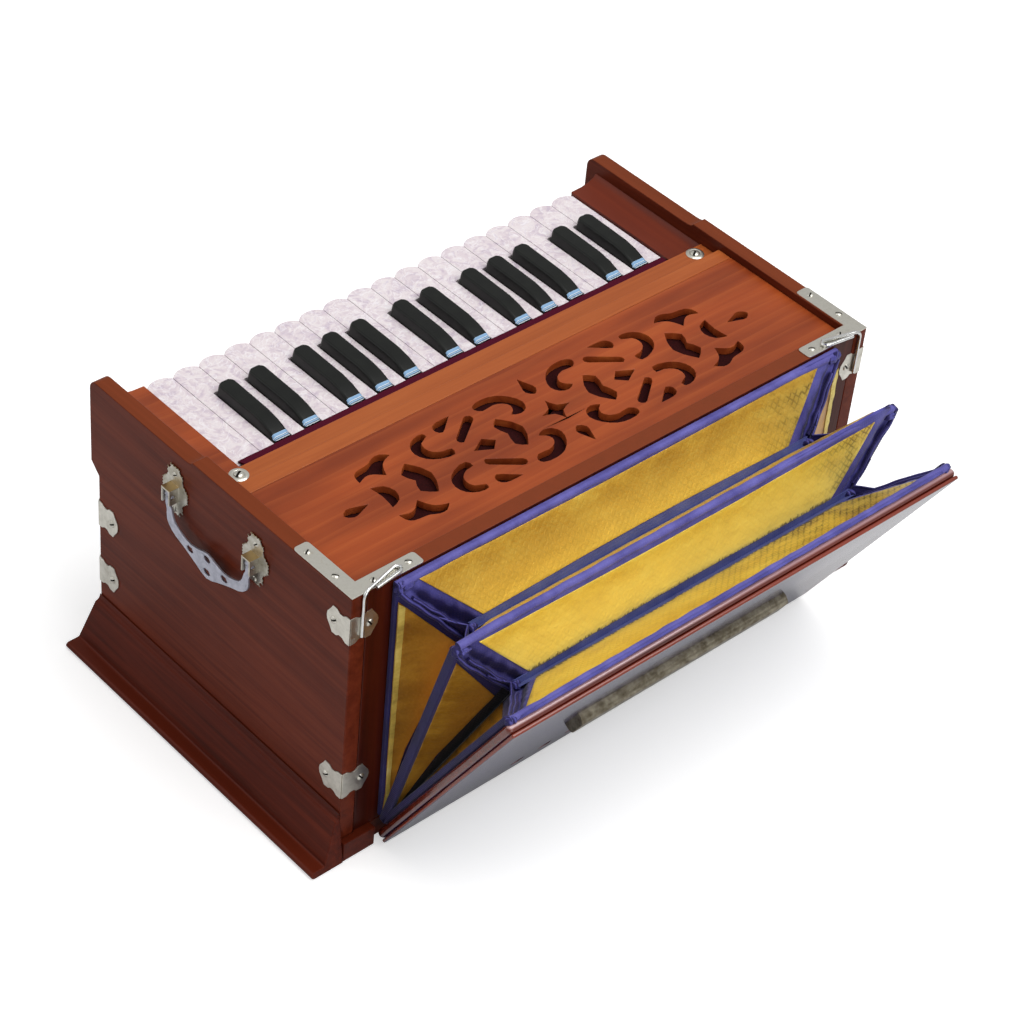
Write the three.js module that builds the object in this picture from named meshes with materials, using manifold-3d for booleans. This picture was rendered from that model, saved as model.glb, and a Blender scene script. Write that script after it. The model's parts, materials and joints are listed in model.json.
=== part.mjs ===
// Indian hand-pumped harmonium in millimetres.
// +Z is up, +X runs to the bass end, -Y to the bellows and +Y to the player.
import * as THREE from 'three';
import { mergeVertices } from 'three/addons/utils/BufferGeometryUtils.js';
import Module from 'manifold-3d';

const wasm = await Module();
wasm.setup();

// Gap left between neighbouring pieces, and the weld distance of a solid's points.
const fit = 0.3;
const weld = 0.0001;
const quarterTurn = Math.PI / 2;

// Case
const caseHalf = 240;
const panelThick = 12.6;
const rearFace = -136;
const playerFace = 138;
const caseTop = 239.6;
const wingDrop = 3;
const stepStart = 31;
const stepEnd = 40;
const wingNose = 147;
const wingUnderside = 155;
const wingRadius = 8;
const floorBoardThick = 17;
const ledgeOut = 6;
const rearPanelThick = 13.2;
const frontPanelThick = 12;
const airHoleRadius = 11;
const airHoleCount = 5;
const airHolePitch = 60;
const airHoleHeight = 90;

// Plinth moulding, from the floor up: outward reach and height of each change of its profile
const plinthTop = 43.7;
const plinthToe = 27.5;
const plinthToeHeight = 5.6;
const plinthFilletReach = 18;
const plinthSlopeReach = 15.5;
const plinthSlopeHeight = 7.5;
const plinthNeckReach = 4.2;
const plinthNeckHeight = 38;
const plinthLipReach = 0.8;
const plinthSpread = 6.6;

// Keyboard
const whiteCount = 18;
const keyEndWidth = 25.32;
const whiteGap = 0.4;
const whiteDrop = 22.4;
const whiteThick = 12.2;
const whiteNotch = 133.5;
const whiteNose = 138.5;
const notchClear = 1.5;
const leverShare = 0.375;
const leverEnd = -100;
const headEnd = 31;
const palletShare = 0.446;
const palletLength = 42;
const palletThick = 8;
const palletInset = 2;
const blackBaseShare = 0.66;
const blackNose = 102;
const blackLip = 2.5;
const blackRear = 35.5;
const blackChamfer = 39.6;
const blackRise = 49;
const blackWaist = 60;
const blackShoulder = 97;
const blackHeight = 9;
const blackRearShares = [0.14, 0.39];
const blackChamferShares = [0.39, 0.395];
const blackRiseShares = [0.76, 0.41];
const blackWaistShares = [0.93, 0.42];
const blackShoulderShares = [1, 0.44];
// Sharps from the treble end: how many naturals lie before each, and its shift in shares of a key's pitch
const blackSpotCounts = [2, 3, 5, 6, 7, 9, 10, 12, 13, 14, 16, 17];
const blackShiftShares = [-0.09, 0.09, -0.152, 0, 0.152, -0.09, 0.09, -0.152, 0, 0.152, -0.09, 0.09];
const pivotY = 20;

// Key bed and reeds
const ridgeRise = 8.3;
const bedThick = 16.7;
const ridgeHalf = 5;
const reedSlotWidth = 7;
const reedSlotLength = 32;
const reedBankInset = 27;
const reedPlateLength = 44;
const reedPlateThick = 2;
const reedTongueWidth = 3;
const reedTongueLength = 30;

// Key end blocks
const blockFront = 136;
const blockLowRise = 2.3;
const blockHighRise = 9.8;
const blockCove = 3;

// Rail and fretwork board
const railFront = 20.3;
const railStep = 2;
const railBack = -10.6;
const railLowDrop = 11.6;
const railDrop = 6;
const leverClear = 3.9;
const fretThick = 6;

// Wire hooks at the bellows' corners, and the sheet metal that they lie on
const sheet = 0.9;
const wireRadius = 1.3;
const latchLegInset = 7;
const latchDrop = 36.6;
const latchReach = 34;
const latchSwing = 9;
const latchBend = 5;
const latchReturn = 19;
const latchLoop = 5;

// Carrying handles
const handleY = 4.5;
const handleSpan = 87.3;
const escutcheonDrop = 34.9;
const escutcheonHalf = 20.6;
const escutcheonWide = 14;
const escutcheonStep = 8.5;
const escutcheonTab = 5.5;
const escutcheonTabRise = 16.8;
const escutcheonStepRise = 9.6;
const toothPitch = 3;
const toothDepth = 1.1;
const bossHeight = 13;
const bossDrop = 7.7;
const bossPinInset = 2.8;
const bossHalf = 4.6;
const bossDepth = 8;
const bossCheek = 1.5;
const bossBack = 1.2;
const bailPinRadius = 1.4;
const bailPinClear = 0.35;
const bailThick = 2;
const bailArm = 5;
const bailRise = 2.5;
const bailShoulder = 7.5;
// The handle's outline below its pin, outer and inner edge, each point a distance along Y and up from the pin
const bailOuter = [[44.6, -13], [44, -22], [37, -29.2], [26, -33.4], [13, -39], [0, -44.2]];
const bailInner = [[39.4, -11], [37.6, -17], [33, -22.4], [20, -26.6], [9, -24.6], [0, -22]];
const bailHoleLong = 3.9;
const bailHoleHigh = 2.8;
const bailHoleSpots = [[-18.7, -31.2], [18.7, -31.2], [0, -27], [0, -38.4]];

// Bellows, hinged along X at the foot of the rear panel
const hingeY = -140;
const hingeZ = 8;
const openAngle = 30;
const bellowsInset = 33;
const bellowsDrop = 9.6;
const bellowsFoot = 14;
const frameBar = 14;
const ridgeThick = 1.6;
const ridgeBar = 9;
const valleyInset = 52;
const innerValleyDrop = 47.6;
const outerValleyDrop = 53;
const foldThick = 2;
const boardInset = 29;
const boardDrop = 13.6;
const boardFoot = 2;
const boardThick = 8.4;
const boardRound = 4;
const intakeRadius = 5.8;
const intakeCount = 9;
const intakePitch = 26;
const intakeRise = 34;
const gripHalf = 100;
const gripTop = 129;
const gripHigh = 22;
const gripThick = 9;
const gripGroove = 1;
const gripChamfer = 2.4;

// Stop knobs
const knobSpots = [-130, 0, 130];
const knobHeight = 112;
const knobRadius = 12;
const knobOut = 3;
const knobProfileShares = [[0, 0.5], [0.22, 0.46], [0.5, 1], [0.78, 1], [1, 0.7]];
const knobDepth = 20;
const stemRadius = 4;
const stemClear = 0.4;
const stemLength = 46;

// Fretwork: each cut as runs of points that meet at corners, each point a distance from the board's
// centre along X, then along Y. The whole pattern is stretched to end patternInset from the board's ends.
const dropCut = (round, tip, half) => {
  const belly = round + (tip - round) * 0.26;
  const taper = round + (tip - round) * 0.58;
  return [[[tip, 0], [taper, half * 0.66], [belly, half], [round, 0], [belly, -half], [taper, -half * 0.66],
    [tip, 0]]];
};
const wingCut = (point, notch, lobe, tip, tipRise, lobeRise) => [
  [[point, 0], [point + (tip - point) * 0.3, tipRise * 0.48], [tip, tipRise]],
  [[tip, tipRise], [lobe, lobeRise], [notch, 0]],
  [[notch, 0], [lobe, -lobeRise], [tip, -tipRise]],
  [[tip, -tipRise], [point + (tip - point) * 0.3, -tipRise * 0.48], [point, 0]],
];
const starHalf = [12.7, 11.5];
const starWaistShare = 0.3;
const starCut = [[1, 1], [-1, 1], [-1, -1], [1, -1]].map(([a, b], k) => {
  const along = [a * starHalf[0], 0];
  const across = [0, b * starHalf[1]];
  const waist = [a * starHalf[0] * starWaistShare, b * starHalf[1] * starWaistShare];
  return k % 2 === 0 ? [along, waist, across] : [across, waist, along];
});
const barCentre = [65.2, 21.2];
const barHalf = 15;
const barRadius = 3.5;
const barTurn = 37;
const cutSteps = 2;
const innerHook = [[44.9, 37], [34.4, 38.6], [24.8, 36.2], [16.7, 29], [13.1, 20.1], [15.9, 13.6],
  [22.3, 11.2], [28.8, 14.1], [24.8, 16.9], [22.8, 21.7], [25.6, 26.5], [32.8, 29.3], [42.5, 28.6],
  [46.5, 33]];
const outerHook = [[92.5, 34.6], [100.5, 34.1], [107.8, 29], [110.2, 21], [107, 12.8], [99, 7.2],
  [87.7, 5.1], [86, 11.2], [92.5, 12], [99, 16.1], [100.9, 21.7], [99, 27.4], [91.7, 30.9]];
const commaCut = [[[65.1, 38.3], [72.4, 32.6], [79.6, 27.4], [83.3, 30.9], [82, 36], [76.4, 38.3],
  [65.1, 38.3]]];
const kiteCut = [[[75.5, 0], [63, 6.7]], [[63, 6.7], [55.7, 0]], [[55.7, 0], [63, -6.7]],
  [[63, -6.7], [75.5, 0]]];
const crescentCut = [[[157, 11.8], [148.4, 8.4], [144.9, 0], [148.4, -8.4], [157, -11.8]],
  [[157, -11.8], [155.4, 0], [157, 11.8]]];
const doveCut = [
  [[159, 20.1], [158, 26.5], [154, 30.3], [146, 31.4], [141.7, 32.2], [136, 35.1], [129.6, 35.1],
    [124, 30.6]],
  [[124, 30.6], [129.6, 29], [134.4, 25.7], [137.7, 20.1], [139.3, 15.7]],
  [[139.3, 15.7], [143.3, 19.3], [147.3, 22.2], [152.2, 22.8], [159, 20.1]],
];
const innerWingSizes = [31.2, 44.5, 47.7, 41, 17, 11];
const outerWingSizes = [113.5, 127.2, 131.5, 122, 17.8, 10];
const endDropSizes = [189, 168.3, 4.6];
const crossDropSizes = [21.3, 40.5, 4.8];
const fretCentre = -65.6;
const patternInset = 38.1;
const fourWays = [[1, 1], [-1, 1], [-1, -1], [1, -1]];
const middleOnly = [[1, 1]];
const leftRight = [[1, 1], [-1, 1]];
const upDown = [[1, 1], [1, -1]];

// Geometry helpers
const outward = (points, faces) => {
  const geometry = new THREE.BufferGeometry().setFromPoints(points);
  const wedge = ([a, b, c]) => points[a].dot(points[b].clone().cross(points[c]));
  const volume = faces.reduce((sum, face) => sum + wedge(face), 0);
  geometry.setIndex(faces.flatMap(([a, b, c]) => (volume > 0 ? [a, b, c] : [a, c, b])));
  geometry.computeVertexNormals();
  return geometry;
};
const righted = (geometry) => {
  const bare = geometry.clone();
  bare.deleteAttribute('normal');
  bare.deleteAttribute('uv');
  const merged = mergeVertices(bare, weld);
  const { position } = merged.attributes;
  const point = (_, k) => new THREE.Vector3().fromBufferAttribute(position, k);
  const points = Array.from({ length: position.count }, point);
  const faces = [];
  for (let k = 0; k < merged.index.count; k += 3) {
    const [a, b, c] = merged.index.array.slice(k, k + 3);
    if (a !== b && b !== c && a !== c) faces.push([a, b, c]);
  }
  return outward(points, faces);
};
const bareSolid = (geometry) => {
  const right = righted(geometry);
  return new wasm.Manifold(new wasm.Mesh({
    numProp: 3,
    vertProperties: new Float32Array(right.attributes.position.array),
    triVerts: new Uint32Array(right.index.array),
  }));
};
const plainGeometry = (solid) => {
  const mesh = solid.getMesh();
  const geometry = new THREE.BufferGeometry();
  geometry.setAttribute('position', new THREE.BufferAttribute(new Float32Array(mesh.vertProperties), 3));
  geometry.setIndex(new THREE.BufferAttribute(new Uint32Array(mesh.triVerts), 1));
  geometry.computeVertexNormals();
  return geometry;
};
const unite = (first, ...others) => plainGeometry(
  others.reduce((sum, added) => sum.add(bareSolid(added)), bareSolid(first)),
);
const cutFrom = (first, ...others) => plainGeometry(
  others.reduce((rest, taken) => rest.subtract(bareSolid(taken)), bareSolid(first)),
);
const mirrored = (geometry) => righted(geometry.clone().scale(-1, 1, 1));
const slab = (x0, x1, y0, y1, z0, z1) => new THREE.BoxGeometry(x1 - x0, y1 - y0, z1 - z0)
  .translate((x0 + x1) / 2, (y0 + y1) / 2, (z0 + z1) / 2);
const alongZ = (shape, z0, z1, curveSegments = 6) => new THREE.ExtrudeGeometry(shape, {
  depth: z1 - z0, bevelEnabled: false, curveSegments,
}).translate(0, 0, z0);
const alongX = (shape, x0, x1, curveSegments = 6) => alongZ(shape, 0, x1 - x0, curveSegments)
  .applyMatrix4(new THREE.Matrix4().set(0, 0, 1, x0, 1, 0, 0, 0, 0, 1, 0, 0, 0, 0, 0, 1));
const alongY = (shape, y0, y1, curveSegments = 6) => alongZ(shape, 0, y1 - y0, curveSegments)
  .rotateX(quarterTurn).translate(0, y1, 0);
const vector2 = ([a, b]) => new THREE.Vector2(a, b);
const polygon = (points) => new THREE.Shape(points.map(vector2));
const rectangle = (a0, a1, b0, b1) => polygon([[a0, b0], [a1, b0], [a1, b1], [a0, b1]]);
const circle = (a, b, radius) => new THREE.Shape().absarc(a, b, radius, 0, 2 * Math.PI, false);
// A skin over rings of equally many points: capped at both ends, or joined back to its first ring
const skin = (rings, joined) => {
  const size = rings[0].length;
  const faces = [];
  const spans = joined ? rings.length : rings.length - 1;
  for (let r = 0; r < spans; r += 1) {
    for (let k = 0; k < size; k += 1) {
      const a = r * size + k;
      const b = r * size + (k + 1) % size;
      const c = ((r + 1) % rings.length) * size + (k + 1) % size;
      const d = ((r + 1) % rings.length) * size + k;
      faces.push([a, b, c], [a, c, d]);
    }
  }
  if (!joined) {
    const last = (rings.length - 1) * size;
    for (let k = 1; k < size - 1; k += 1) faces.push([0, k + 1, k], [last, last + k, last + k + 1]);
  }
  return outward(rings.flat(), faces);
};
const turned = (profile, sides) => righted(new THREE.LatheGeometry(profile.map(vector2), sides));
const wire = (points, radius, steps) => {
  const path = new THREE.CatmullRomCurve3(points.map((p) => new THREE.Vector3(...p)), false, 'centripetal');
  return new THREE.ExtrudeGeometry(circle(0, 0, radius), {
    steps, curveSegments: 4, bevelEnabled: false, extrudePath: path,
  });
};
const piece = (name, geometry, color) => {
  const mesh = new THREE.Mesh(geometry, new THREE.MeshStandardMaterial({ color, roughness: 0.6 }));
  mesh.name = name;
  return mesh;
};

// Places that several pieces share
const innerHalf = caseHalf - panelThick - fit;
const whitePitch = 2 * (innerHalf - keyEndWidth) / whiteCount;
const leverWidth = whitePitch * leverShare;
const palletWidth = whitePitch * palletShare;
const blackBase = whitePitch * blackBaseShare;
const bellowsHalf = caseHalf - bellowsInset;
const valleyHalf = bellowsHalf - valleyInset;
const boardHalf = caseHalf - boardInset;
const floorTop = floorBoardThick + fit;
const rearInside = rearFace + rearPanelThick + fit;
const frontInside = playerFace - frontPanelThick - fit;
const wingTop = caseTop - wingDrop;
const railHigh = caseTop - railDrop;
const railLow = caseTop - railLowDrop;
const whiteTop = caseTop - whiteDrop;
const keyBottom = whiteTop - whiteThick;
const railBottom = whiteTop + leverClear;
const bedTop = keyBottom - ridgeRise;
const blockBottom = bedTop + fit;
const blockLow = whiteTop + blockLowRise;
const blockHigh = whiteTop + blockHighRise;
const latchFoot = caseTop - latchDrop;
const escutcheonHeight = caseTop - escutcheonDrop;
const bellowsTop = caseTop - bellowsDrop;
const boardTop = caseTop - boardDrop;
const keyboardHalf = whiteCount * whitePitch / 2;
const bedBottom = bedTop - bedThick;
const palletMiddle = leverEnd + palletInset + palletLength / 2;
const boundaryX = (k) => k * whitePitch - keyboardHalf;
const blackX = blackSpotCounts.map((k, spot) => boundaryX(k) + blackShiftShares[spot] * whitePitch);
const blackAt = (k) => blackX[blackSpotCounts.indexOf(k)];

// Case
const sidePanel = () => {
  const shape = new THREE.Shape();
  shape.moveTo(rearFace, 0);
  shape.lineTo(playerFace, 0);
  shape.lineTo(playerFace, wingUnderside);
  shape.lineTo(wingNose, wingUnderside + wingNose - playerFace);
  shape.lineTo(wingNose, wingTop - wingRadius);
  shape.absarc(wingNose - wingRadius, wingTop - wingRadius, wingRadius, 0, quarterTurn, false);
  shape.lineTo(stepEnd, wingTop);
  shape.quadraticCurveTo(stepStart, wingTop, stepStart, caseTop);
  shape.lineTo(rearFace, caseTop);
  return alongX(shape, caseHalf - panelThick, caseHalf, 4);
};
const plinth = () => {
  const wall = caseHalf + fit;
  const toeRadius = plinthToeHeight / 2;
  const shape = new THREE.Shape();
  shape.moveTo(wall, 0);
  shape.lineTo(wall + plinthToe - toeRadius, 0);
  shape.absarc(wall + plinthToe - toeRadius, toeRadius, toeRadius, -quarterTurn, quarterTurn, false);
  shape.lineTo(wall + plinthFilletReach, plinthToeHeight);
  const slopeFoot = wall + plinthSlopeReach;
  shape.quadraticCurveTo(slopeFoot, plinthToeHeight, slopeFoot, plinthSlopeHeight);
  shape.lineTo(wall + plinthNeckReach, plinthNeckHeight);
  shape.quadraticCurveTo(wall + plinthLipReach, plinthNeckHeight, wall + plinthLipReach, plinthTop);
  shape.lineTo(wall, plinthTop);
  const profile = shape.getPoints(4);
  const ring = (end, spread) => profile.map(({ x, y }) => (
    new THREE.Vector3(x, end + spread * (plinthTop - y) / plinthTop, y)));
  return skin([ring(rearFace, -plinthSpread), ring(playerFace, plinthSpread)], false);
};
const floorBoard = () => {
  const recess = boardHalf + notchClear;
  const half = [[recess, rearFace], [recess, rearFace - ledgeOut], [caseHalf, rearFace - ledgeOut],
    [caseHalf, rearFace - fit], [innerHalf, rearFace - fit], [innerHalf, playerFace]];
  const other = half.map(([x, y]) => [-x, y]).reverse();
  return alongZ(polygon([...half, ...other]), 0, floorBoardThick);
};
const rearPanel = () => {
  const shape = rectangle(-innerHalf, innerHalf, floorTop, caseTop);
  for (let k = 0; k < airHoleCount; k += 1) {
    shape.holes.push(circle((k - (airHoleCount - 1) / 2) * airHolePitch, airHoleHeight, airHoleRadius));
  }
  return alongY(shape, rearFace, rearFace + rearPanelThick);
};
const frontPanel = () => {
  const shape = rectangle(-innerHalf, innerHalf, floorTop, bedTop);
  knobSpots.forEach((x) => shape.holes.push(circle(x, knobHeight, stemRadius + stemClear)));
  return alongY(shape, playerFace - frontPanelThick, playerFace);
};

// Key bed with its balance ridge, and the bank of reeds on its underside
const leverMiddles = [];
const keyBed = () => {
  const slots = leverMiddles.map((x) => slab(
    x - reedSlotWidth / 2,
    x + reedSlotWidth / 2,
    palletMiddle - reedSlotLength / 2,
    palletMiddle + reedSlotLength / 2,
    bedBottom - fit,
    bedTop + fit,
  ));
  const board = slab(-innerHalf, innerHalf, rearInside, frontInside, bedBottom, bedTop);
  const ridge = polygon([[pivotY - ridgeHalf, bedTop - fit], [pivotY + ridgeHalf, bedTop - fit],
    [pivotY, keyBottom - fit]]);
  return unite(cutFrom(board, ...slots), alongX(ridge, -keyboardHalf, keyboardHalf));
};
const reedBank = () => {
  const half = innerHalf - reedBankInset;
  const front = palletMiddle - reedPlateLength / 2;
  const inside = reedTongueWidth / 2;
  const outside = inside + fit;
  const root = palletMiddle - reedTongueLength / 2;
  const tip = palletMiddle + reedTongueLength / 2;
  const bottom = bedBottom - fit - reedPlateThick;
  const slit = (x) => polygon([[x - outside, root], [x - inside, root], [x - inside, tip],
    [x + inside, tip], [x + inside, root], [x + outside, root], [x + outside, tip + fit],
    [x - outside, tip + fit]]);
  const plate = slab(-half, half, front, front + reedPlateLength, bottom, bedBottom - fit);
  return cutFrom(plate, ...leverMiddles.map((x) => alongZ(slit(x), bottom - fit, bedBottom)));
};

// Keys: each with its lever under the rail and its pallet at the far end
const lever = (x, start) => {
  const half = leverWidth / 2;
  return slab(x - half, x + half, leverEnd, start, keyBottom, whiteTop);
};
const pallet = (x) => slab(
  x - palletWidth / 2,
  x + palletWidth / 2,
  leverEnd + palletInset,
  leverEnd + palletInset + palletLength,
  keyBottom - palletThick,
  keyBottom + fit,
);
const whiteEdges = (k) => {
  const low = boundaryX(k) + whiteGap / 2;
  const high = boundaryX(k + 1) - whiteGap / 2;
  const clear = blackBase / 2 + whiteGap;
  const rearLow = blackAt(k) === undefined ? low : blackAt(k) + clear;
  const rearHigh = blackAt(k + 1) === undefined ? high : blackAt(k + 1) - clear;
  return { low, high, rearLow, rearHigh };
};
const whiteKey = (k) => {
  const { low, high, rearLow, rearHigh } = whiteEdges(k);
  const half = (high - low) / 2;
  const bulge = whiteNose - whiteNotch;
  const radius = (half * half + bulge * bulge) / (2 * bulge);
  const spread = Math.asin(half / radius);
  const shoulder = blackNose + notchClear;
  const shape = new THREE.Shape();
  shape.moveTo(high, whiteNotch);
  shape.absarc(low + half, whiteNose - radius, radius, quarterTurn - spread, quarterTurn + spread, false);
  [[low, shoulder], [rearLow, shoulder], [rearLow, headEnd], [rearHigh, headEnd], [rearHigh, shoulder],
    [high, shoulder]].filter(([x, y]) => y !== shoulder || (x !== low || rearLow !== low))
    .forEach(([x, y]) => shape.lineTo(x, y));
  const middle = (rearLow + rearHigh) / 2;
  return unite(alongZ(shape, keyBottom, whiteTop, 4), lever(middle, headEnd + fit), pallet(middle));
};
const blackKey = (x) => {
  const base = blackBase / 2;
  const ring = (yLow, yHigh, [heightShare, halfShare]) => {
    const top = whiteTop + blackHeight * heightShare;
    const half = blackBase * halfShare;
    return [[-base, yLow, keyBottom], [base, yLow, keyBottom], [base, yLow, whiteTop], [half, yHigh, top],
      [-half, yHigh, top], [-base, yLow, whiteTop]].map(([dx, y, z]) => new THREE.Vector3(x + dx, y, z));
  };
  const body = skin([
    ring(blackRear, blackRear, blackRearShares),
    ring(blackChamfer, blackChamfer, blackChamferShares),
    ring(blackRise, blackRise, blackRiseShares),
    ring(blackWaist, blackWaist, blackWaistShares),
    ring(blackShoulder, blackShoulder, blackShoulderShares),
    ring(blackNose - blackLip, blackNose, blackShoulderShares),
  ], false);
  return unite(body, lever(x, blackRear + fit), pallet(x));
};
blackX.forEach((x) => leverMiddles.push(x));
for (let k = 0; k < whiteCount; k += 1) {
  const { rearLow, rearHigh } = whiteEdges(k);
  leverMiddles.push((rearLow + rearHigh) / 2);
}

const keyBlock = () => {
  const wall = keyboardHalf + whiteGap;
  const shape = new THREE.Shape();
  shape.moveTo(wall, blockBottom);
  shape.lineTo(innerHalf, blockBottom);
  shape.lineTo(innerHalf, blockHigh);
  shape.quadraticCurveTo(innerHalf - blockCove, blockLow, wall, blockLow);
  return alongY(shape, railFront + fit, blockFront, 4);
};

// Rail and fretwork board
const rail = () => alongX(polygon([[railBack, railBottom], [railFront, railBottom], [railFront, railLow],
  [railStep, railLow], [railStep, railHigh], [railBack, railHigh]]), -innerHalf, innerHalf);
const smoothLoop = (points) => {
  const curve = new THREE.CatmullRomCurve3(points.map(([u, v]) => new THREE.Vector3(u, v, 0)), true);
  return curve.getPoints(points.length * cutSteps).slice(1).map(({ x, y }) => [x, y]);
};
const corneredLoop = (runs) => runs.flatMap((run) => {
  if (run.length === 2) return [run[1]];
  const curve = new THREE.SplineCurve(run.map(vector2));
  return curve.getPoints((run.length - 1) * cutSteps).slice(1).map(({ x, y }) => [x, y]);
});
const barLoop = () => {
  const lean = -THREE.MathUtils.degToRad(barTurn);
  const reach = barHalf - barRadius;
  const [u, v] = barCentre;
  const path = new THREE.Path();
  path.absarc(u + reach * Math.cos(lean), v + reach * Math.sin(lean), barRadius, lean - quarterTurn,
    lean + quarterTurn, false);
  path.absarc(u - reach * Math.cos(lean), v - reach * Math.sin(lean), barRadius, lean + quarterTurn,
    lean + 3 * quarterTurn, false);
  return path.getPoints(cutSteps).slice(1).map(({ x, y }) => [x, y]);
};
const fretwork = () => {
  const shape = rectangle(-innerHalf, innerHalf, rearInside, railBack - fit);
  const stretch = (innerHalf - patternInset) / endDropSizes[0];
  const cuts = [
    [corneredLoop(starCut), middleOnly],
    [corneredLoop(dropCut(...crossDropSizes)).map(([u, v]) => [v, u]), upDown],
    [corneredLoop(dropCut(...endDropSizes)), leftRight],
    [corneredLoop(kiteCut), leftRight],
    [corneredLoop(wingCut(...innerWingSizes)), leftRight],
    [corneredLoop(wingCut(...outerWingSizes)), leftRight],
    [corneredLoop(crescentCut), leftRight],
    [smoothLoop(innerHook), fourWays],
    [smoothLoop(outerHook), fourWays],
    [barLoop(), fourWays],
    [corneredLoop(commaCut), fourWays],
    [corneredLoop(doveCut), fourWays],
  ];
  cuts.forEach(([loop, ways]) => ways.forEach(([alongX, alongY]) => {
    const placed = loop.map(([u, v]) => new THREE.Vector2(u * stretch * alongX, fretCentre + v * alongY));
    shape.holes.push(new THREE.Path(placed));
  }));
  return alongZ(shape, railHigh - fretThick, railHigh);
};

const plateTop = caseTop + fit + sheet;

// Wire hooks that hold the closed bellows: a leg down the rear face and a loop over the corner plate
const latch = () => {
  const legX = caseHalf - latchLegInset;
  const legY = rearFace - fit - wireRadius;
  const top = plateTop + fit + wireRadius;
  const tip = [legX - latchReach, legY + latchSwing];
  const back = latchReturn / latchReach;
  return wire([
    [legX, legY, latchFoot],
    [legX, legY, top - latchBend - wireRadius],
    [legX, legY, top - latchBend],
    [legX - latchBend / 2, legY + fit, top],
    [legX - latchReach / 2, legY + latchSwing / 2, top],
    [tip[0], tip[1], top],
    [tip[0] - latchLoop / 2, tip[1] + latchLoop / 2, top],
    [tip[0], tip[1] + latchLoop, top],
    [tip[0] + latchReturn, tip[1] + latchLoop - latchSwing * back, top],
  ], wireRadius, 26);
};

// Carrying handles, drawn for the bass side
const escutcheonFace = caseHalf + fit;
const bossBottom = escutcheonHeight - bossDrop;
const pinX = escutcheonFace + sheet + bossDepth - bossPinInset;
const pinZ = bossBottom + bossHeight / 2;
// An outline with its straight edges cut into fine teeth that point inwards
const toothed = (points) => points.flatMap(([a, b], k) => {
  const [c, d] = points[(k + 1) % points.length];
  const length = Math.hypot(c - a, d - b);
  const count = Math.max(1, Math.round(length / toothPitch));
  return Array.from({ length: count }, (_, n) => {
    const at = (share, inwards) => [
      a + (c - a) * share + (d - b) / length * inwards,
      b + (d - b) * share - (c - a) / length * inwards,
    ];
    return [at(n / count, 0), at((n + 1 / 2) / count, toothDepth)];
  }).flat();
});
const escutcheon = (y) => {
  const half = [[escutcheonTab, escutcheonHalf], [escutcheonTab, escutcheonTabRise],
    [escutcheonStep, escutcheonTabRise], [escutcheonStep, escutcheonStepRise],
    [escutcheonWide, escutcheonStepRise - escutcheonWide + escutcheonStep]];
  const right = half.concat(half.map(([a, b]) => [a, -b]).reverse());
  const left = right.map(([a, b]) => [-a, -b]);
  const start = escutcheonFace + sheet;
  const end = start + bossDepth;
  const bossTop = bossBottom + bossHeight;
  const inside = bossHalf - bossCheek;
  const face = alongX(polygon(toothed([...right, ...left]).reverse()), escutcheonFace, start);
  const boss = slab(start - fit, end, -bossHalf, bossHalf, bossBottom, bossTop);
  const pocket = slab(start + bossBack, end + fit, -inside, inside, bossBottom - fit, bossTop - bossCheek);
  const bore = alongY(circle(pinX, pinZ, bailPinRadius + bailPinClear), -bossHalf - fit, bossHalf + fit);
  return cutFrom(unite(face.translate(0, 0, escutcheonHeight), boss), pocket, bore).translate(0, y, 0);
};
const frontEscutcheon = () => escutcheon(handleY + handleSpan / 2);
const rearEscutcheon = () => escutcheon(handleY - handleSpan / 2);
const bail = () => {
  const edge = (half, arm) => {
    const across = [...half, ...half.slice(0, -1).reverse().map(([y, z]) => [-y, z])];
    const curve = new THREE.SplineCurve(across.map(vector2)).getPoints(across.length * cutSteps);
    return [[arm, bailRise], [arm, -bailShoulder], ...curve.map(({ x, y }) => [x, y]),
      [-arm, -bailShoulder], [-arm, bailRise]];
  };
  const outer = edge(bailOuter, (handleSpan + bailArm) / 2);
  const inner = edge(bailInner, (handleSpan - bailArm) / 2);
  const shape = polygon([...outer, ...inner.reverse()]);
  bailHoleSpots.forEach(([y, z]) => {
    shape.holes.push(new THREE.Path().absellipse(y, z, bailHoleLong, bailHoleHigh, 0, 2 * Math.PI, false));
  });
  const plate = alongX(shape, pinX - bailThick / 2, pinX + bailThick / 2, 3).translate(0, 0, pinZ);
  const pins = [-1, 1].map((side) => {
    const y = side * handleSpan / 2;
    return alongY(circle(pinX, pinZ, bailPinRadius), y - bossHalf, y + bossHalf);
  });
  return unite(plate, ...pins).translate(0, handleY, 0);
};

// Bellows: a point at a distance up a plane that leans from the hinge, and off that plane
const leaning = (x, up, degrees, off) => {
  const angle = THREE.MathUtils.degToRad(degrees);
  return new THREE.Vector3(
    x,
    hingeY - up * Math.sin(angle) - off * Math.cos(angle),
    hingeZ + up * Math.cos(angle) - off * Math.sin(angle),
  );
};
const frameShape = (bar) => {
  const shape = rectangle(-bellowsHalf, bellowsHalf, bellowsFoot, bellowsTop);
  shape.holes.push(rectangle(bar - bellowsHalf, bellowsHalf - bar, bellowsFoot + bar, bellowsTop - bar));
  return shape;
};
const foldCorners = [[-1, 0], [-1, 1], [1, 1], [1, 0]];
const foldRing = (half, top, inset, degrees, off) => foldCorners.map(([side, up]) => {
  const wide = up ? half : bellowsHalf;
  const height = up ? top - inset : bellowsFoot + inset;
  return leaning(side * (wide - inset), height, degrees, off);
});
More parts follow.
